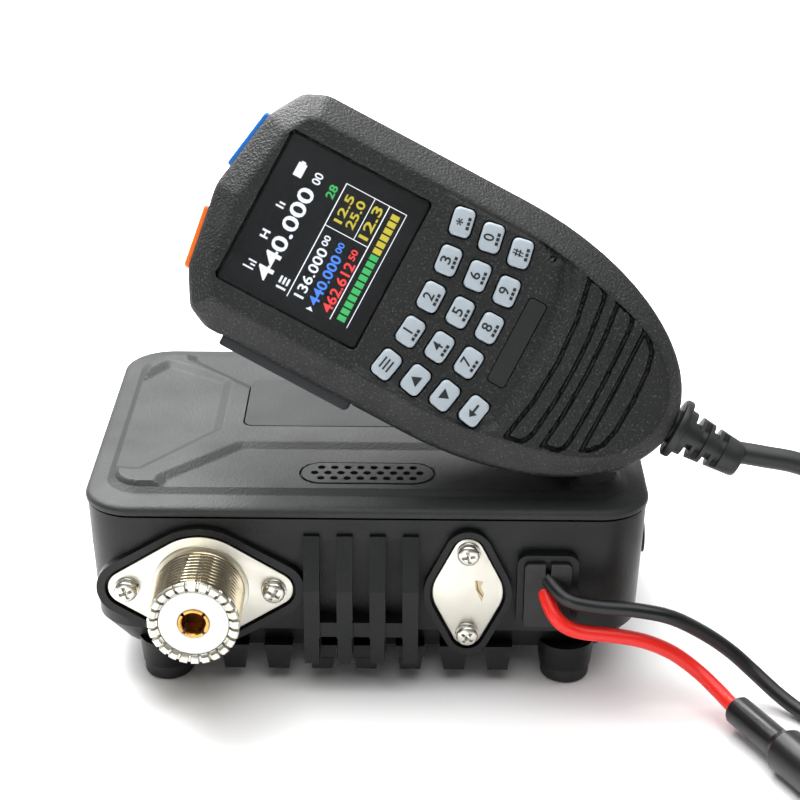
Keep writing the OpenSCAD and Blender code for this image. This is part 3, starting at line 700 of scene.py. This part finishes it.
def slab_ring(in_x, in_y, r, z, per_corner=14):
    """A level ring of the case: a rounded rectangle set in by in_x and in_y."""
    ring = []
    for quarter, (sx, sy) in enumerate(((1, 1), (-1, 1), (-1, -1), (1, -1))):
        for k in range(per_corner + 1):
            angle = math.radians(90 * (quarter + k / per_corner))
            x = sx * (BODY_W / 2 - in_x - r) + r * math.cos(angle)
            y = BODY_D / 2 + sy * (BODY_D / 2 - in_y - r) + r * math.sin(angle)
            ring.append((x, y, z))
    return np.array(ring)


def cover_edge(p):
    return box_distance(p, (0, BODY_D / 2), (90.5, 57.6), 5.6)


def cover_fields(p):
    return np.min([shape_distance(p, field) for field in FIELDS], axis=0)


def inlay_seat(p):
    return box_distance(p, (0, 40.3), (47.6, 21.4), 2)


def grille_seat(p):
    return box_distance(p, (0, 12.1), (24.4, 8.6), 4.25)


def cover_height(p):
    rise = np.minimum(cover_fields(p) / FIELD_SLOPE, -cover_edge(p) / EDGE_SLOPE)
    z = FIELD_Z + (COVER_TOP - FIELD_Z) * np.clip(rise, 0, 1)
    z = np.where(inlay_seat(p) < -ON_EDGE, COVER_TOP - INLAY_DEEP, z)
    return np.where(grille_seat(p) < -ON_EDGE, FIELD_Z - GRILLE_DEEP, z)


# %% [markdown]
# The wall of the lid is a stack of rounded rectangles, each row giving how far it is set in along
# X and Y, its corner radius and its height: skirt, seam, rounded shoulder, ledge, first slope.

# %% The cover itself
COVER_RIM = [
    (2.4, 2.4, 7.8, 32.7), (2.4, 2.4, 7.8, 34), (0.3, 0.3, 8.8, 34), (0.05, 0.05, 9, 34.1),
    (0, 0, 9, 34.3), (0, 0, 9, 34.9), (0.12, 0.12, 9, 35.2), (0.4, 0.4, 8.8, 35.48),
    (0.8, 0.8, 8.6, 35.66), (1.6, 1.6, 8.2, 35.8),
    (3.35, 4.6, 6.6, 35.88), (3.55, 4.85, 6.4, 35.92), (3.75, 5.1, 6.3, 36.05), (4.65, 6.08, 5.7, 36.69),
    (4.75, 6.2, 5.6, FIELD_Z),
]
cover_shell = skin([slab_ring(*row) for row in COVER_RIM], cover_abs)
cover_face = height_field((-46, 5), (46, 65), 0.34, cover_edge, cover_height, cover_abs,
                          [cover_fields, lambda p: cover_fields(p) - FIELD_SLOPE, inlay_seat, grille_seat])
new_piece("case_cover", "base_unit", [cover_shell, cover_face], ["top_cover"], sharp_deg=24)

# %% [markdown]
# ## The antenna socket
# A turned brass body, nickel plated: a rhombic flange, a shoulder, a 24-per-inch thread and a rim
# with notches that the plug's teeth catch. Inside sit white PTFE and a gilt contact with four slits.
# A lathe makes it, so a lathe profile draws it; the thread and the notches then reshape its rings.

# %% Outlines of flanges
ANT_X = -29.2
ANT_Z = 20.2
BARREL_R = 7.94
BARREL_OUT = 13.2
THREAD_PITCH = 1.058
THREAD_DEEP = 0.72
RIM_TEETH = 24
FLANGE_OUT = 0.8
FLANGE_SCREWS = 26
OUT_OF_FACE = Matrix.Translation((ANT_X, 0, ANT_Z)) @ Matrix.Rotation(math.pi / 2, 4, "X")
SOCKET_PLACE = np.array(BASE @ OUT_OF_FACE)


def flange_outline(spacing, mid_r, end_r, upright=False):
    """The rhombic outline round a middle disc and two end discs, anticlockwise."""
    lean = math.acos((mid_r - end_r) / (spacing / 2))
    points = []
    for middle, r, start, stop in ((spacing / 2, end_r, -lean, lean), (0, mid_r, lean, math.pi - lean),
                                   (-spacing / 2, end_r, math.pi - lean, math.pi + lean),
                                   (0, mid_r, math.pi + lean, 2 * math.pi - lean)):
        for k in range(17):
            angle = start + (stop - start) * k / 16
            points.append((middle + r * math.cos(angle), r * math.sin(angle)))
    points = np.array(points)
    return points[:, ::-1] * (-1, 1) if upright else points


def plate_part(outline_at, levels, surface):
    """A flat plate: outline_at(inset) gives its outline and levels are (inset, z) from low to high."""
    rings = []
    for inset, z in levels:
        outline = outline_at(inset)
        rings.append(np.column_stack([outline, np.full(len(outline), z)]))
    return skin(rings, surface, cap_high=True)


# %% [markdown]
# A thread is a groove whose depth depends on how far along its own helix a point is. It fades in
# behind the shoulder and out before the rim, and a fine keyway runs along the top.

# %% Thread and notches


def threaded(radius, angle, z):
    turns = z / THREAD_PITCH - angle / (2 * math.pi)
    saw = np.abs((turns % 1) * 2 - 1)
    depth = THREAD_DEEP * np.clip(saw * 1.3 - 0.15, 0, 1)
    depth = depth * step((z - 1.6) / 0.8) * step((BARREL_OUT - 1.2 - z) / 0.5)
    keyway = np.where(np.abs(angle - math.pi / 2 + 0.12) < 0.03, 0.15, 0)
    return radius - depth - keyway * (z > 1.9) * (z < BARREL_OUT - 1), np.full(len(angle), z)


def notched(radius, angle, z):
    tooth = np.abs(((angle * RIM_TEETH / (2 * math.pi)) % 1) * 2 - 1) > 0.32
    cut = ~tooth & (z > BARREL_OUT - 0.6)
    return np.where(cut & (radius > 7), radius - 0.35, radius), np.where(cut, z - 0.7, z)


# %% [markdown]
# The socket is four turned or plate parts on one axis: flange, shoulder, threaded barrel and rim.
# The barrel has 12 rings to each turn of thread, so that its groove has a clean slope.

# %% Antenna socket
barrel = [(BARREL_R, z) for z in np.arange(0.9, BARREL_OUT - 0.9, THREAD_PITCH / 12)]
rim = [(BARREL_R, BARREL_OUT - 0.9), (BARREL_R, BARREL_OUT - 0.25), (BARREL_R - 0.25, BARREL_OUT),
       (6.8, BARREL_OUT), (6.45, BARREL_OUT - 0.35), (6.2, BARREL_OUT - 0.45), (6.2, 5)]
socket_parts = [
    plate_part(lambda inset: flange_outline(FLANGE_SCREWS, 10.3 - inset, 3.4 - inset),
               [(0, -0.5), (0, 0.6), (0.08, 0.74), (0.22, FLANGE_OUT)], nickel),
    turned([(8.6, 0.5), (8.6, 0.92), (8.5, 1.0), (BARREL_R, 1.0)], nickel, 96),
    turned(barrel, warm_nickel, 160, threaded),
    turned(rim, nickel, 288, notched),
]
new_piece("antenna_socket_skin", "base_unit", socket_parts, ["antenna_socket"], SOCKET_PLACE)


# %% [markdown]
# The contact is a tube sawn into four springy quarters. Each is its own shell with real walls, so
# the slits are open; the darker bore that shows through them is painted shade.

# %% Antenna contact


def contact_quarter(start_deg):
    """A quarter of the slotted contact, from its outside to its bore."""
    outer, inner, tip = 2.8, 2.05, BARREL_OUT - 0.3
    around = np.radians(start_deg + np.linspace(0, 77, 12))
    rows = [
        (outer, 5), (outer, tip - 0.3), (outer - 0.15, tip), (inner + 0.2, tip), (inner, tip - 0.2),
        (inner, 5),
    ]
    points = [(r * math.cos(a), r * math.sin(a), z) for r, z in rows for a in around]
    n = len(around)
    faces = [(i * n + k, i * n + k + 1, i * n + n + k + 1, i * n + n + k)
             for i in range(len(rows) - 1) for k in range(n - 1)]
    faces.append(tuple(i * n for i in range(len(rows))))
    faces.append(tuple(i * n + n - 1 for i in reversed(range(len(rows)))))
    return points, faces, gilt


# The bore behind the slits and at the foot of the contact is a darker brown: painted shade.
bore_floor = turned([(2.7, 4), (2.7, 8.5), (0.01, 8.5)], bore_painted_shade, 32)
quarters = [contact_quarter(51.5 + 90 * k) for k in range(4)]
new_piece("antenna_contact_tube", "base_unit", quarters + [bore_floor], ["antenna_contact"], SOCKET_PLACE)

# %% [markdown]
# ## Screws
# Pan heads with a cross recess sit on split washers, as the fitter left them: each at its own turn.

# %% A screw


def screw_parts(head_r, head_h, washer_r, turn):
    """A pan-head screw on its split washer, standing on z = 0."""
    reach = head_r * 0.62
    arm = head_r * 0.15
    gap = math.radians(8)

    def edge(p):
        return np.hypot(*p.T) - head_r

    def cross(p):
        upright = box_distance(p, (0, 0), (2 * arm, 2 * reach), arm * 0.3)
        level = box_distance(p, (0, 0), (2 * reach, 2 * arm), arm * 0.3)
        return np.minimum(upright, level)

    def height(p):
        r = np.hypot(*p.T) / head_r
        dome = 0.6 + head_h * (0.5 + 0.5 * np.sqrt(np.clip(1 - r**2.6, 0, 1)))
        centre = np.clip(1 - np.hypot(*p.T) / reach, 0, 1)
        return dome - np.where(cross(p) < -0.01, head_h * (0.35 + 0.4 * centre), 0)

    reach_out = head_r + 0.2
    head = height_field((-reach_out, -reach_out), (reach_out, reach_out), head_r / 26, edge, height,
                        screw_steel, [cross])
    side = turned([(head_r - 0.15, 0.6), (head_r, 0.68), (head_r, 0.6 + head_h * 0.5)], screw_steel, 48)
    around = np.linspace(gap, 2 * math.pi - gap, 40)
    rows = [(1.3, 0.55), (1.3, 0.02), (washer_r - 0.08, 0.02), (washer_r, 0.1), (washer_r, 0.5),
            (washer_r - 0.08, 0.58), (1.3, 0.58)]
    points = [(r * math.cos(a), r * math.sin(a), z) for r, z in rows for a in around]
    n = len(around)
    faces = [(i * n + k, i * n + k + 1, i * n + n + k + 1, i * n + n + k)
             for i in range(len(rows) - 1) for k in range(n - 1)]
    faces += [tuple(i * n for i in range(6, 0, -1)), tuple(i * n + n - 1 for i in range(1, 7))]
    return [moved(part, turn_z=turn) for part in (head, side, (points, faces, screw_steel))]


def facing_out(parts, x, z, out):
    """Parts turned from +Z to face out of the connector face."""
    return [moved(part, x, -out, z, tip_x=90) for part in parts]


# %% [markdown]
# Two screws hold the flange across its width, and two hold the blank plate above and below its
# middle. The plate's screws are a size smaller.

# %% The four screws
PLATE_X = 18
PLATE_Z = 19.7
PLATE_OUT = 0.6
PLATE_SCREWS = 16.2
flange_fasteners = []
for side, turn_deg in ((-1, 22), (1, -31)):
    screw = screw_parts(2.0, 1.5, 2.2, turn_deg)
    flange_fasteners += facing_out(screw, ANT_X + side * FLANGE_SCREWS / 2, ANT_Z, FLANGE_OUT)
new_piece("flange_fasteners", "base_unit", flange_fasteners, ["antenna_screws"])
plate_fasteners = []
for side, turn_deg in ((1, 12), (-1, -38)):
    screw = screw_parts(1.9, 1.4, 2.1, turn_deg)
    plate_fasteners += facing_out(screw, PLATE_X, PLATE_Z + side * PLATE_SCREWS / 2, PLATE_OUT)
new_piece("plate_fasteners", "base_unit", plate_fasteners, ["blank_plate_screws"])

# %% [markdown]
# ## The blank plate
# A small rhombic plate closes the place of an antenna socket that this model doesn't have. Handling
# has left a scuff on it, drawn as a thin film with a darker score across it.

# %% Blank plate
blank_parts = [plate_part(lambda inset: flange_outline(PLATE_SCREWS, 6.3 - inset, 2.7 - inset, True),
                          [(0, -0.5), (0, 0.32), (0.1, 0.5), (0.3, PLATE_OUT)], nickel)]
scuff = [(1.2, 2.6), (2.7, 2.3), (2.3, 1.2), (2.9, -0.2), (2.5, -1.8), (2, -0.7), (1.4, 0.7)]
score = [(1.45, 2.4), (1.62, 2.45), (1.9, 0.7), (2.75, -0.7), (2.6, -0.8), (1.7, 0.4)]
blank_parts.append(outline_patch(scuff[::-1], PLATE_OUT + 0.006, scuff_film))
blank_parts.append(outline_patch(score[::-1], PLATE_OUT + 0.012, score_dark))
new_piece("blank_plate_skin", "base_unit", facing_out(blank_parts, PLATE_X, PLATE_Z, 0), ["blank_plate"])

# %% [markdown]
# ## The microphone's shell
# Two shells of glass-filled nylon meet on a parting line. The front one has a flat face with the
# display's pocket, sixteen key holes in a gentle arc, a groove round the keypad and three bars; it
# falls away in a soft slope to an upright wall.

# %% Shell outline
HALF_W = 22.8
FACE_Z = 8


def mic_outline():
    """The shell's outline, anticlockwise, with its corners eased."""
    corners = [(0, 44), (-15, 41.6), (-HALF_W + 1.8, 38), (-HALF_W, 34)]
    corners += [(HALF_W * math.cos(a), -5 + 41 * math.sin(a)) for a in np.radians(np.arange(180, 361, 6))]
    corners += [(HALF_W, 34), (HALF_W - 1.8, 38), (15, 41.6)]
    line = []
    for (ax, ay), (bx, by) in zip(corners, corners[1:] + corners[:1]):
        n = max(round(math.hypot(bx - ax, by - ay) / 0.5), 1)
        line += [(ax + (bx - ax) * k / n, ay + (by - ay) * k / n) for k in range(n)]
    line = np.array(line)
    for _ in range(4):
        line = (np.roll(line, 1, 0) + 2 * line + np.roll(line, -1, 0)) / 4
    return line + (MIC_X, 0)


OUTLINE = mic_outline()
along = np.roll(OUTLINE, -1, 0) - np.roll(OUTLINE, 1, 0)
INWARD = np.column_stack([-along[:, 1], along[:, 0]]) / np.hypot(*along.T)[:, None]
FLAT_IN = 5.2 - 2.1 * step((-22 - OUTLINE[:, 1]) / 20)
FLAT_EDGE = OUTLINE + INWARD * FLAT_IN[:, None]
print("outline points:", len(OUTLINE))


# %% [markdown]
# Both shells are skins over that outline, pushed inwards ring by ring. Where the talk key and the
# two top keys sit, a ring is pushed further in, which makes room for each key's travel.

# %% Rings of the shell
TALK_ROOM_X = -18.8
TALK_ROOM_Y = (5.1, 31.1)
TOP_ROOM_X = 9.6
TOP_ROOM_HALF = 6.3
TOP_ROOM_Y = 36.2


def droop(y):
    return 0.8 * step((-16 - y) / 26)


def shell_ring(inset, z, part_of_flat=None, rooms=True):
    """A ring of the shell, pushed in where the talk key and the two top keys sit."""
    reach = FLAT_IN * part_of_flat if part_of_flat is not None else inset
    ring = OUTLINE + INWARD * np.reshape(reach, (-1, 1) if np.ndim(reach) else ())
    height = z - droop(OUTLINE[:, 1]) * (part_of_flat or 0)
    if rooms:
        beside = (ring[:, 0] < MIC_X) & (ring[:, 1] > TALK_ROOM_Y[0]) & (ring[:, 1] < TALK_ROOM_Y[1])
        ring[beside, 0] = np.maximum(ring[beside, 0], TALK_ROOM_X)
        if abs(z) < 4.3:
            for side in (-TOP_ROOM_X, TOP_ROOM_X):
                above = (np.abs(ring[:, 0] - MIC_X - side) < TOP_ROOM_HALF) & (ring[:, 1] > 30)
                ring[above, 1] = np.minimum(ring[above, 1], TOP_ROOM_Y)
    return np.column_stack([ring, np.full(len(ring), height) if np.ndim(height) == 0 else height])


# %% [markdown]
# The front is a height field, because its details are all depths: grooves, seats, holes and the
# pocket. The columns of keys are straight and the rows bow towards the cord, as a thumb moves.

# %% Places of the keys and bars
KEYS = {
    "key_menu": (-2, 0), "key_1": (-1, 0), "key_2": (0, 0), "key_3": (1, 0), "key_star": (2, 0),
    "key_up": (-2, 1), "key_4": (-1, 1), "key_5": (0, 1), "key_6": (1, 1), "key_0": (2, 1),
    "key_down": (-2, 2), "key_7": (-1, 2), "key_8": (0, 2), "key_9": (1, 2), "key_hash": (2, 2),
    "key_exit": (-2, 3),
}
# Right halves of the three bars, from the middle of the lower edge round to the middle of the upper
BAR_HALVES = [
    [(0, -26.2), (6, -26), (13, -25.2), (14.6, -24.6), (15.6, -23.4), (15.9, -20.3), (8, -21.8), (0, -22.3)],
    [(0, -31.8), (5, -31.7), (11, -31.4), (12.8, -31), (13.8, -30), (14.4, -26.6), (7.5, -27.4), (0, -27.7)],
    [(0, -37.8), (6, -37.5), (9.2, -36.7), (11.4, -34.8), (12.1, -33), (6, -33.1), (0, -33.2)],
]
BARS = [np.array(half + [(-x, y) for x, y in half[-2:0:-1]]) for half in BAR_HALVES]
BAR_GROOVE = 0.9
KEYPAD_RIM = [(-17.2, 10), (-17.2, -10), (-16.7, -14.5), (-14, -17.8), (-6, -18.5), (2, -19), (11, -18.2),
              (16, -16.2), (16.8, -12), (16.9, 10)]


print("keys:", len(KEYS), "bars:", len(BARS))

# %% [markdown]
# Each detail of the face is a distance: keys and seats are rounded rectangles, and the hole over
# the microphone capsule is a disc. A key's hole is 0.28 mm wider than the key all round.

# %% Where each detail is


def key_place(name):
    """Centre and turn of a key: straight columns, rows that bow towards the cord's end."""
    column, row = KEYS[name]
    x = column * 6.9
    return MIC_X + x, 1.7 + x * x / 146 - row * 5.66, math.degrees(x / 73)


def key_holes(p):
    nearest = np.full(len(p), 99.0)
    for name in KEYS:
        x, y, turn = key_place(name)
        c, s = math.cos(math.radians(turn)), math.sin(math.radians(turn))
        q = (p - (x, y)) @ np.array([(c, -s), (s, c)])
        nearest = np.minimum(nearest, box_distance(q, (0, 0), (5, 3.7), 1))
    return nearest - 0.28


def display_pocket(p):
    return box_distance(p, (MIC_X, 22.6), (28.9, 27.4), 1)


def bar_lines(p):
    """Distance outside the three bars."""
    return np.min([shape_distance(p, shape) for shape in BARS], axis=0)


def badge_seat(p):
    return box_distance(p, (MIC_X, -15), (16.4, 3.6), 0.8)


def listening_hole(p):
    return np.hypot(p[:, 0] - 15.2, p[:, 1] + 13.7) - 0.6


# %% [markdown]
# The face's height starts flat, and each detail lowers it: a soft groove round the keypad that
# deepens near the bars, a rounder one along each bar, and then the seats and holes.

# %% The front shell's face


def face_height(p):
    z = FACE_Z - droop(p[:, 1])
    rim = np.abs(shape_distance(p, KEYPAD_RIM))
    wide = 0.32 + 0.95 * step((-9 - p[:, 1]) / 5)
    shown = 1 - step((p[:, 1] - 7.5) / 1.5)
    z = z - (0.25 + 0.5 * step((-9 - p[:, 1]) / 5)) * shown * np.exp(-((rim / wide) ** 2))
    across = np.abs(bar_lines(p) / (BAR_GROOVE / 2) + 1)
    z = z - 1.0 * np.clip(1.4 - 1.4 * across**3, 0, 1)
    z = np.where(badge_seat(p) < -ON_EDGE, FACE_Z - 0.5, z)
    z = np.where(display_pocket(p) < -ON_EDGE, FACE_Z - 4.4, z)
    z = np.where(listening_hole(p) < -ON_EDGE, FACE_Z - 2.5, z)
    return np.where(key_holes(p) < -ON_EDGE, FACE_Z - 3, z)


# %% [markdown]
# The front wall goes up from the parting line, and then its rings follow a share of the way to
# the flat edge, which makes a slope that is steep at the sides and soft at the corners.

# %% Front shell
FRONT_LEVELS = [(1.5, 0.1), (0.14, 0.1), (0, 0.26), (0, 2), (0, 3.4)]
front_rings = [shell_ring(inset, z) for inset, z in FRONT_LEVELS]
front_rings += [shell_ring(0, 4.26, 0.03), shell_ring(0, 4.36, 0.036, rooms=False)]
front_rings += [shell_ring(0, z, part, rooms=False) for part, z in (
    (0.08, 4.75), (0.15, 5.1), (0.25, 5.5), (0.5, 6.45), (0.75, 7.4), (0.86, 7.75), (0.94, 7.94),
    (1, FACE_Z))]
front_face = height_field(
    (-24, -46), (24, 45), 0.3, lambda p: shape_distance(p, FLAT_EDGE), face_height, shell_nylon,
    [bar_lines, lambda p: bar_lines(p) + BAR_GROOVE, badge_seat, display_pocket, key_holes, listening_hole])
front_wall = skin(front_rings, shell_nylon)
new_piece("microphone_front", "hand_microphone", [front_wall, front_face], ["handset_front"], sharp_deg=40)

# %% [markdown]
# The rear shell is a bowl: it runs from the parting line down a rounded edge and a long slope to a
# flat back. Each level gives its inset, its height and whether it leaves room for the keys.

# %% Rear shell
REAR_LEVELS = [
    (9.6, -16, 0), (8.4, -15.85, 0), (7.6, -15.3, 0), (1.9, -5.45, 0), (1.86, -5.3, 1), (1.3, -4.4, 1),
    (1.28, -4.28, 1), (0.5, -2.9, 1), (0.1, -2.2, 1), (0, -1.7, 1), (0, -0.26, 1), (0.14, -0.1, 1),
    (1.5, -0.1, 1),
]
rear_rings = [shell_ring(inset, z, None, bool(room)) for inset, z, room in REAR_LEVELS]
rear_skin = skin(rear_rings, shell_nylon, cap_low=True)
new_piece("microphone_rear", "hand_microphone", [rear_skin], ["handset_rear"])

# %% [markdown]
# ## The keys
# Each key is a small pillow of pale silicone with a dark legend. The digits carry a small second
# sign below, and the column beside them has bars, arrows and a way-back sign.

# %% Outline and legend of a key
KEY_TOP = FACE_Z + 0.8


def key_ring(grow, r, z):
    ring = []
    for quarter, (sx, sy) in enumerate(((1, 1), (-1, 1), (-1, -1), (1, -1))):
        for k in range(7):
            a = math.radians(90 * (quarter + k / 6))
            x = sx * (2.5 + grow - r) + r * math.cos(a)
            y = sy * (1.85 + grow - r) + r * math.sin(a)
            ring.append((x, y, z))
    return np.array(ring)


def sign_parts(name, z):
    """The printed legend of a key, as flat parts round its middle."""
    ink = legend_ink
    if name == "key_menu":
        return [patch(-1.1, y, 1.1, y + 0.32, z, ink) for y in (-0.9, -0.16, 0.58)]
    if name == "key_up":
        return [outline_patch([(-1.05, -0.7), (1.05, -0.7), (0, 0.95)], z, ink)]
    if name == "key_down":
        return [outline_patch([(-1.05, 0.7), (0, -0.95), (1.05, 0.7)], z, ink)]
    if name == "key_exit":
        head = outline_patch([(-1.3, 0), (-0.2, -0.85), (-0.2, 0.85)], z, ink)
        return [head, patch(-0.3, -0.2, 1.3, 0.2, z, ink)]
    sign = {"key_star": "*", "key_hash": "#"}.get(name, name[4:])
    tall = 1.3 if sign == "*" else 1.9
    wide = 0.35 if sign == "1" else 1.25
    main = mark(sign, tall, -0.1, 0.45, z, ink, wide, bold=0.015)
    small = [patch(-1.15 + 0.8 * k, -1.4, -0.55 + 0.8 * k, -0.85, z, ink) for k in range(3)]
    return [main] + small


# %% [markdown]
# Every key is one skin, from a hidden foot to a soft crown, turned as its row bows. Each rides on
# its own body, so it can be pressed.

# %% The sixteen keys
for key_name in KEYS:
    key_x, key_y, key_turn = key_place(key_name)
    cap = skin([key_ring(*row) for row in (
        (0.55, 1.4, 4.9), (0.55, 1.4, 5.2), (0, 1, 5.25), (0, 1, KEY_TOP - 0.5), (-0.04, 1, KEY_TOP - 0.3),
        (-0.14, 1, KEY_TOP - 0.13), (-0.32, 0.9, KEY_TOP - 0.03), (-0.6, 0.8, KEY_TOP),
        (-1.2, 0.5, KEY_TOP + 0.02),
    )], key_silicone, cap_high=True)
    parts = [cap] + sign_parts(key_name, KEY_TOP + 0.035)
    new_piece(key_name + "_cap", key_name, [moved(part, key_x, key_y, 0, turn_z=key_turn) for part in parts],
              [key_name], place=PLACES["hand_microphone"], sharp_deg=45)

# %% [markdown]
# ## The display
# A colour display behind a clear window: one big frequency, a line of small ones on the left, a
# grid of values on the right and a row of signs on top. Lit signs lie just above the black panel.

# %% Lines, signs and bars of the display
LIT_Z = FACE_Z - 1.55
lit = []
# Ruled lines, then the small signs of the top row, each as left, low, right and high.
for x0, y0, x1, y1 in (
        (-11.9, 23.6, 10.1, 23.8), (2.0, 15.3, 2.15, 23.7), (2.1, 18.05, 10, 18.2),
        (-11.9, 15.2, 10.1, 15.4), (-11.9, 11.95, 10.1, 12.1), (10, 12, 10.15, 23.7),
        (7.1, 31.1, 9.6, 32.7), (9.6, 31.5, 9.95, 32.3), (-10.7, 31, -10.4, 33),
        (-10, 31, -9.7, 31.9), (-9.4, 31, -9.1, 32.5), (-4.9, 31.3, -4.5, 32.8),
        (-3.8, 31.3, -3.4, 32.8), (-4.5, 31.9, -3.8, 32.2), (1, 31.3, 1.35, 32.8),
        (1.7, 31.3, 2.05, 32.4), (-11.3, 24.4, -10.9, 26.2), (-10.4, 24.4, -9.1, 24.8),
        (-10.4, 25.1, -9.1, 25.5), (-10.4, 25.8, -9.1, 26.2)):
    lit.append(patch(x0, y0, x1, y1, LIT_Z, WHITE_LIT))
lit.append(outline_patch([(-12.2, 18.5), (-11.5, 19.2), (-12.2, 19.9)], LIT_Z, WHITE_LIT))
for k in range(16):
    bar_ink = GREEN_LIT if k < 10 else YELLOW_LIT
    lit.append(patch(-11.3 + 1.3 * k, 12.8, -10.3 + 1.3 * k, 14.3, LIT_Z, bar_ink))
print("lines and bars:", len(lit))

# %% [markdown]
# The digits come last, each with its height, its width and its place. Stretching to a width
# gives all the numbers the same narrow look, whatever their digits.

# %% Numbers of the display
for text, size, width, x, y, ink in (
        ("440.000", 2.9, 17.6, -2.6, 29, WHITE_LIT), ("00", 1.6, 2.1, 8.4, 28.5, WHITE_LIT),
        ("28", 1.5, 2.4, 7.6, 25.3, GREEN_LIT), ("136.000", 1.9, 9.4, -6.4, 21.9, WHITE_LIT),
        ("440.000", 1.9, 9.4, -6.4, 19.2, BLUE_LIT), ("462.612", 1.9, 9.4, -6.4, 16.6, RED_LIT),
        ("00", 1.2, 1.9, -0.3, 22.2, WHITE_LIT), ("00", 1.2, 1.9, -0.3, 19.5, BLUE_LIT),
        ("50", 1.2, 1.9, -0.3, 16.9, RED_LIT), ("12.5", 1.6, 5.2, 6, 22, YELLOW_LIT),
        ("25.0", 1.6, 5.2, 6, 19.8, YELLOW_LIT), ("12.3", 1.8, 6.2, 6, 16.8, YELLOW_LIT)):
    lit.append(mark(text, size, x, y, LIT_Z, ink, width, bold=0.02))
new_piece("display_signs", "hand_microphone", lit)

# %% [markdown]
# ## The cord's relief
# A soft moulded sleeve: a collar against the shell, then slots cut in pairs at right angles, which
# let it bend, and a solid end where the cord leaves it.

# %% Relief
RELIEF_PLACE = np.array(MIC @ Matrix.Translation((0, -38.4, -0.1)) @ Matrix.Rotation(math.pi / 2, 4, "X"))
RELIEF_SLOTS = [(10.9, 12.0, 0), (12.7, 13.8, 90), (14.5, 15.6, 0), (16.3, 17.4, 90)]


def relief_shape(radius, angle, z):
    for low, high, turn in RELIEF_SLOTS:
        if low < z < high:
            facing = np.abs(np.cos(angle - math.radians(turn)))
            radius = np.where(facing > 0.45, np.minimum(radius, 2.45), radius)
    return radius, np.full(len(angle), z)


relief_rows = [
    (3.1, 0), (3.1, 7.9), (5.0, 7.9), (5.35, 8.15), (5.4, 8.4), (5.4, 9.1), (5.25, 9.4), (4.9, 9.5),
    (4.2, 9.6),
]
for z in (9.9, 10.88, 10.92, 11.98, 12.02, 12.68, 12.72, 13.78, 13.82, 14.48, 14.52, 15.58, 15.62,
          16.28, 16.32, 17.38, 17.42, 19, 20.4):
    relief_rows.append((4.15 - 0.1 * (z - 9.9), z))
relief_rows += [(2.9, 20.85), (2.7, 21), (2.0, 21)]
new_piece("relief_sleeve", "hand_microphone", [turned(relief_rows, relief_rubber, 72, relief_shape)],
          ["strain_relief"], RELIEF_PLACE)

# %% [markdown]
# ## What the cords are
# Each cord hides the CAD lead and coil it stands for, and rides on its body. On the real set the red
# lead has the fuse holder and a ring terminal, the black one a ring terminal, and the mic cord its plug.

# %% Cords in place of the CAD leads
for cord, body, stands_for in (
        (red_lead, "base_unit", ("red_lead", "red_coil")),
        (black_lead, "base_unit", ("black_lead", "black_coil")),
        (mic_cord, "hand_microphone", ("mic_cord", "mic_cord_coil"))):
    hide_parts(*stands_for)
    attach(cord, body)

# %% [markdown]
# ## Light and floor
# A big soft light hangs above and a little behind, a weaker one fills from the front, and the
# floor is pale, so that every edge reads by its highlight.

# %% Floor
floor_mesh = bpy.data.meshes.new("floor")
floor_mesh.from_pydata([(-3, -3, 0), (3, -3, 0), (3, 3, 0), (-3, 3, 0)], [], [(0, 1, 2, 3)])
floor = bpy.data.objects.new("floor", floor_mesh)
floor_mesh.materials.append(finish("floor_white", "#f4f4f4", "#f1f1f1", 400, 0.7))
bpy.context.scene.collection.objects.link(floor)
print("floor, m:", [round(v, 1) for v in floor.dimensions])


# %% [markdown]
# Three soft boxes: a strong one behind and above gives rim light, a broad one straight above lights
# the tops, and a weak one low in front keeps the connector face from going black.

# %% Lamps


def soft_light(name, at_mm, target_mm, size, watts):
    """A square soft box at one point of the base's frame, turned towards another."""
    lamp = bpy.data.lights.new(name, "AREA")
    lamp.size = size
    lamp.energy = watts
    holder = bpy.data.objects.new(name, lamp)
    bpy.context.scene.collection.objects.link(holder)
    start = on_base(*at_mm)
    aim = on_base(*target_mm) - start
    holder.matrix_world = Matrix.Translation(start) @ aim.to_track_quat("-Z", "Y").to_matrix().to_4x4()
    print(name, "lamp, W:", watts)


soft_light("overhead", (-220, 420, 600), (10, 30, 20), 0.6, 14)
soft_light("above", (60, -60, 720), (30, -20, 0), 0.9, 7)
soft_light("front_fill", (-260, -800, 120), (10, 0, 25), 0.4, 1.3)
bpy.context.scene.view_settings.view_transform = "Standard"

# %% [markdown]
# The room is bright behind the set and dim in front of it, as with one white wall. A glossy edge
# mirrors the wall and reads as a highlight, while a face turned to the camera stays dark.

# %% The room
world = bpy.data.worlds.new("studio")
bpy.context.scene.world = world
world.use_nodes = True
sky = world.node_tree
sky.nodes.clear()
toward = add_node(sky, "SeparateXYZ", None, {"Vector": add_node(sky, "TexCoord").outputs["Generated"]})
wall = {"interpolation_type": "SMOOTHSTEP", "From Min": -0.3, "From Max": 0.7, "To Min": 0.14, "To Max": 0.8}
brightness = add_node(sky, "MapRange", wall, {"Value": toward.outputs["Y"]})
room = add_node(sky, "Background", {"Color": (1, 1, 1, 1)}, {"Strength": brightness.outputs["Result"]})
add_node(sky, "OutputWorld", None, {"Surface": room.outputs["Background"]})
print("room, from dim to bright:", wall["To Min"], wall["To Max"])
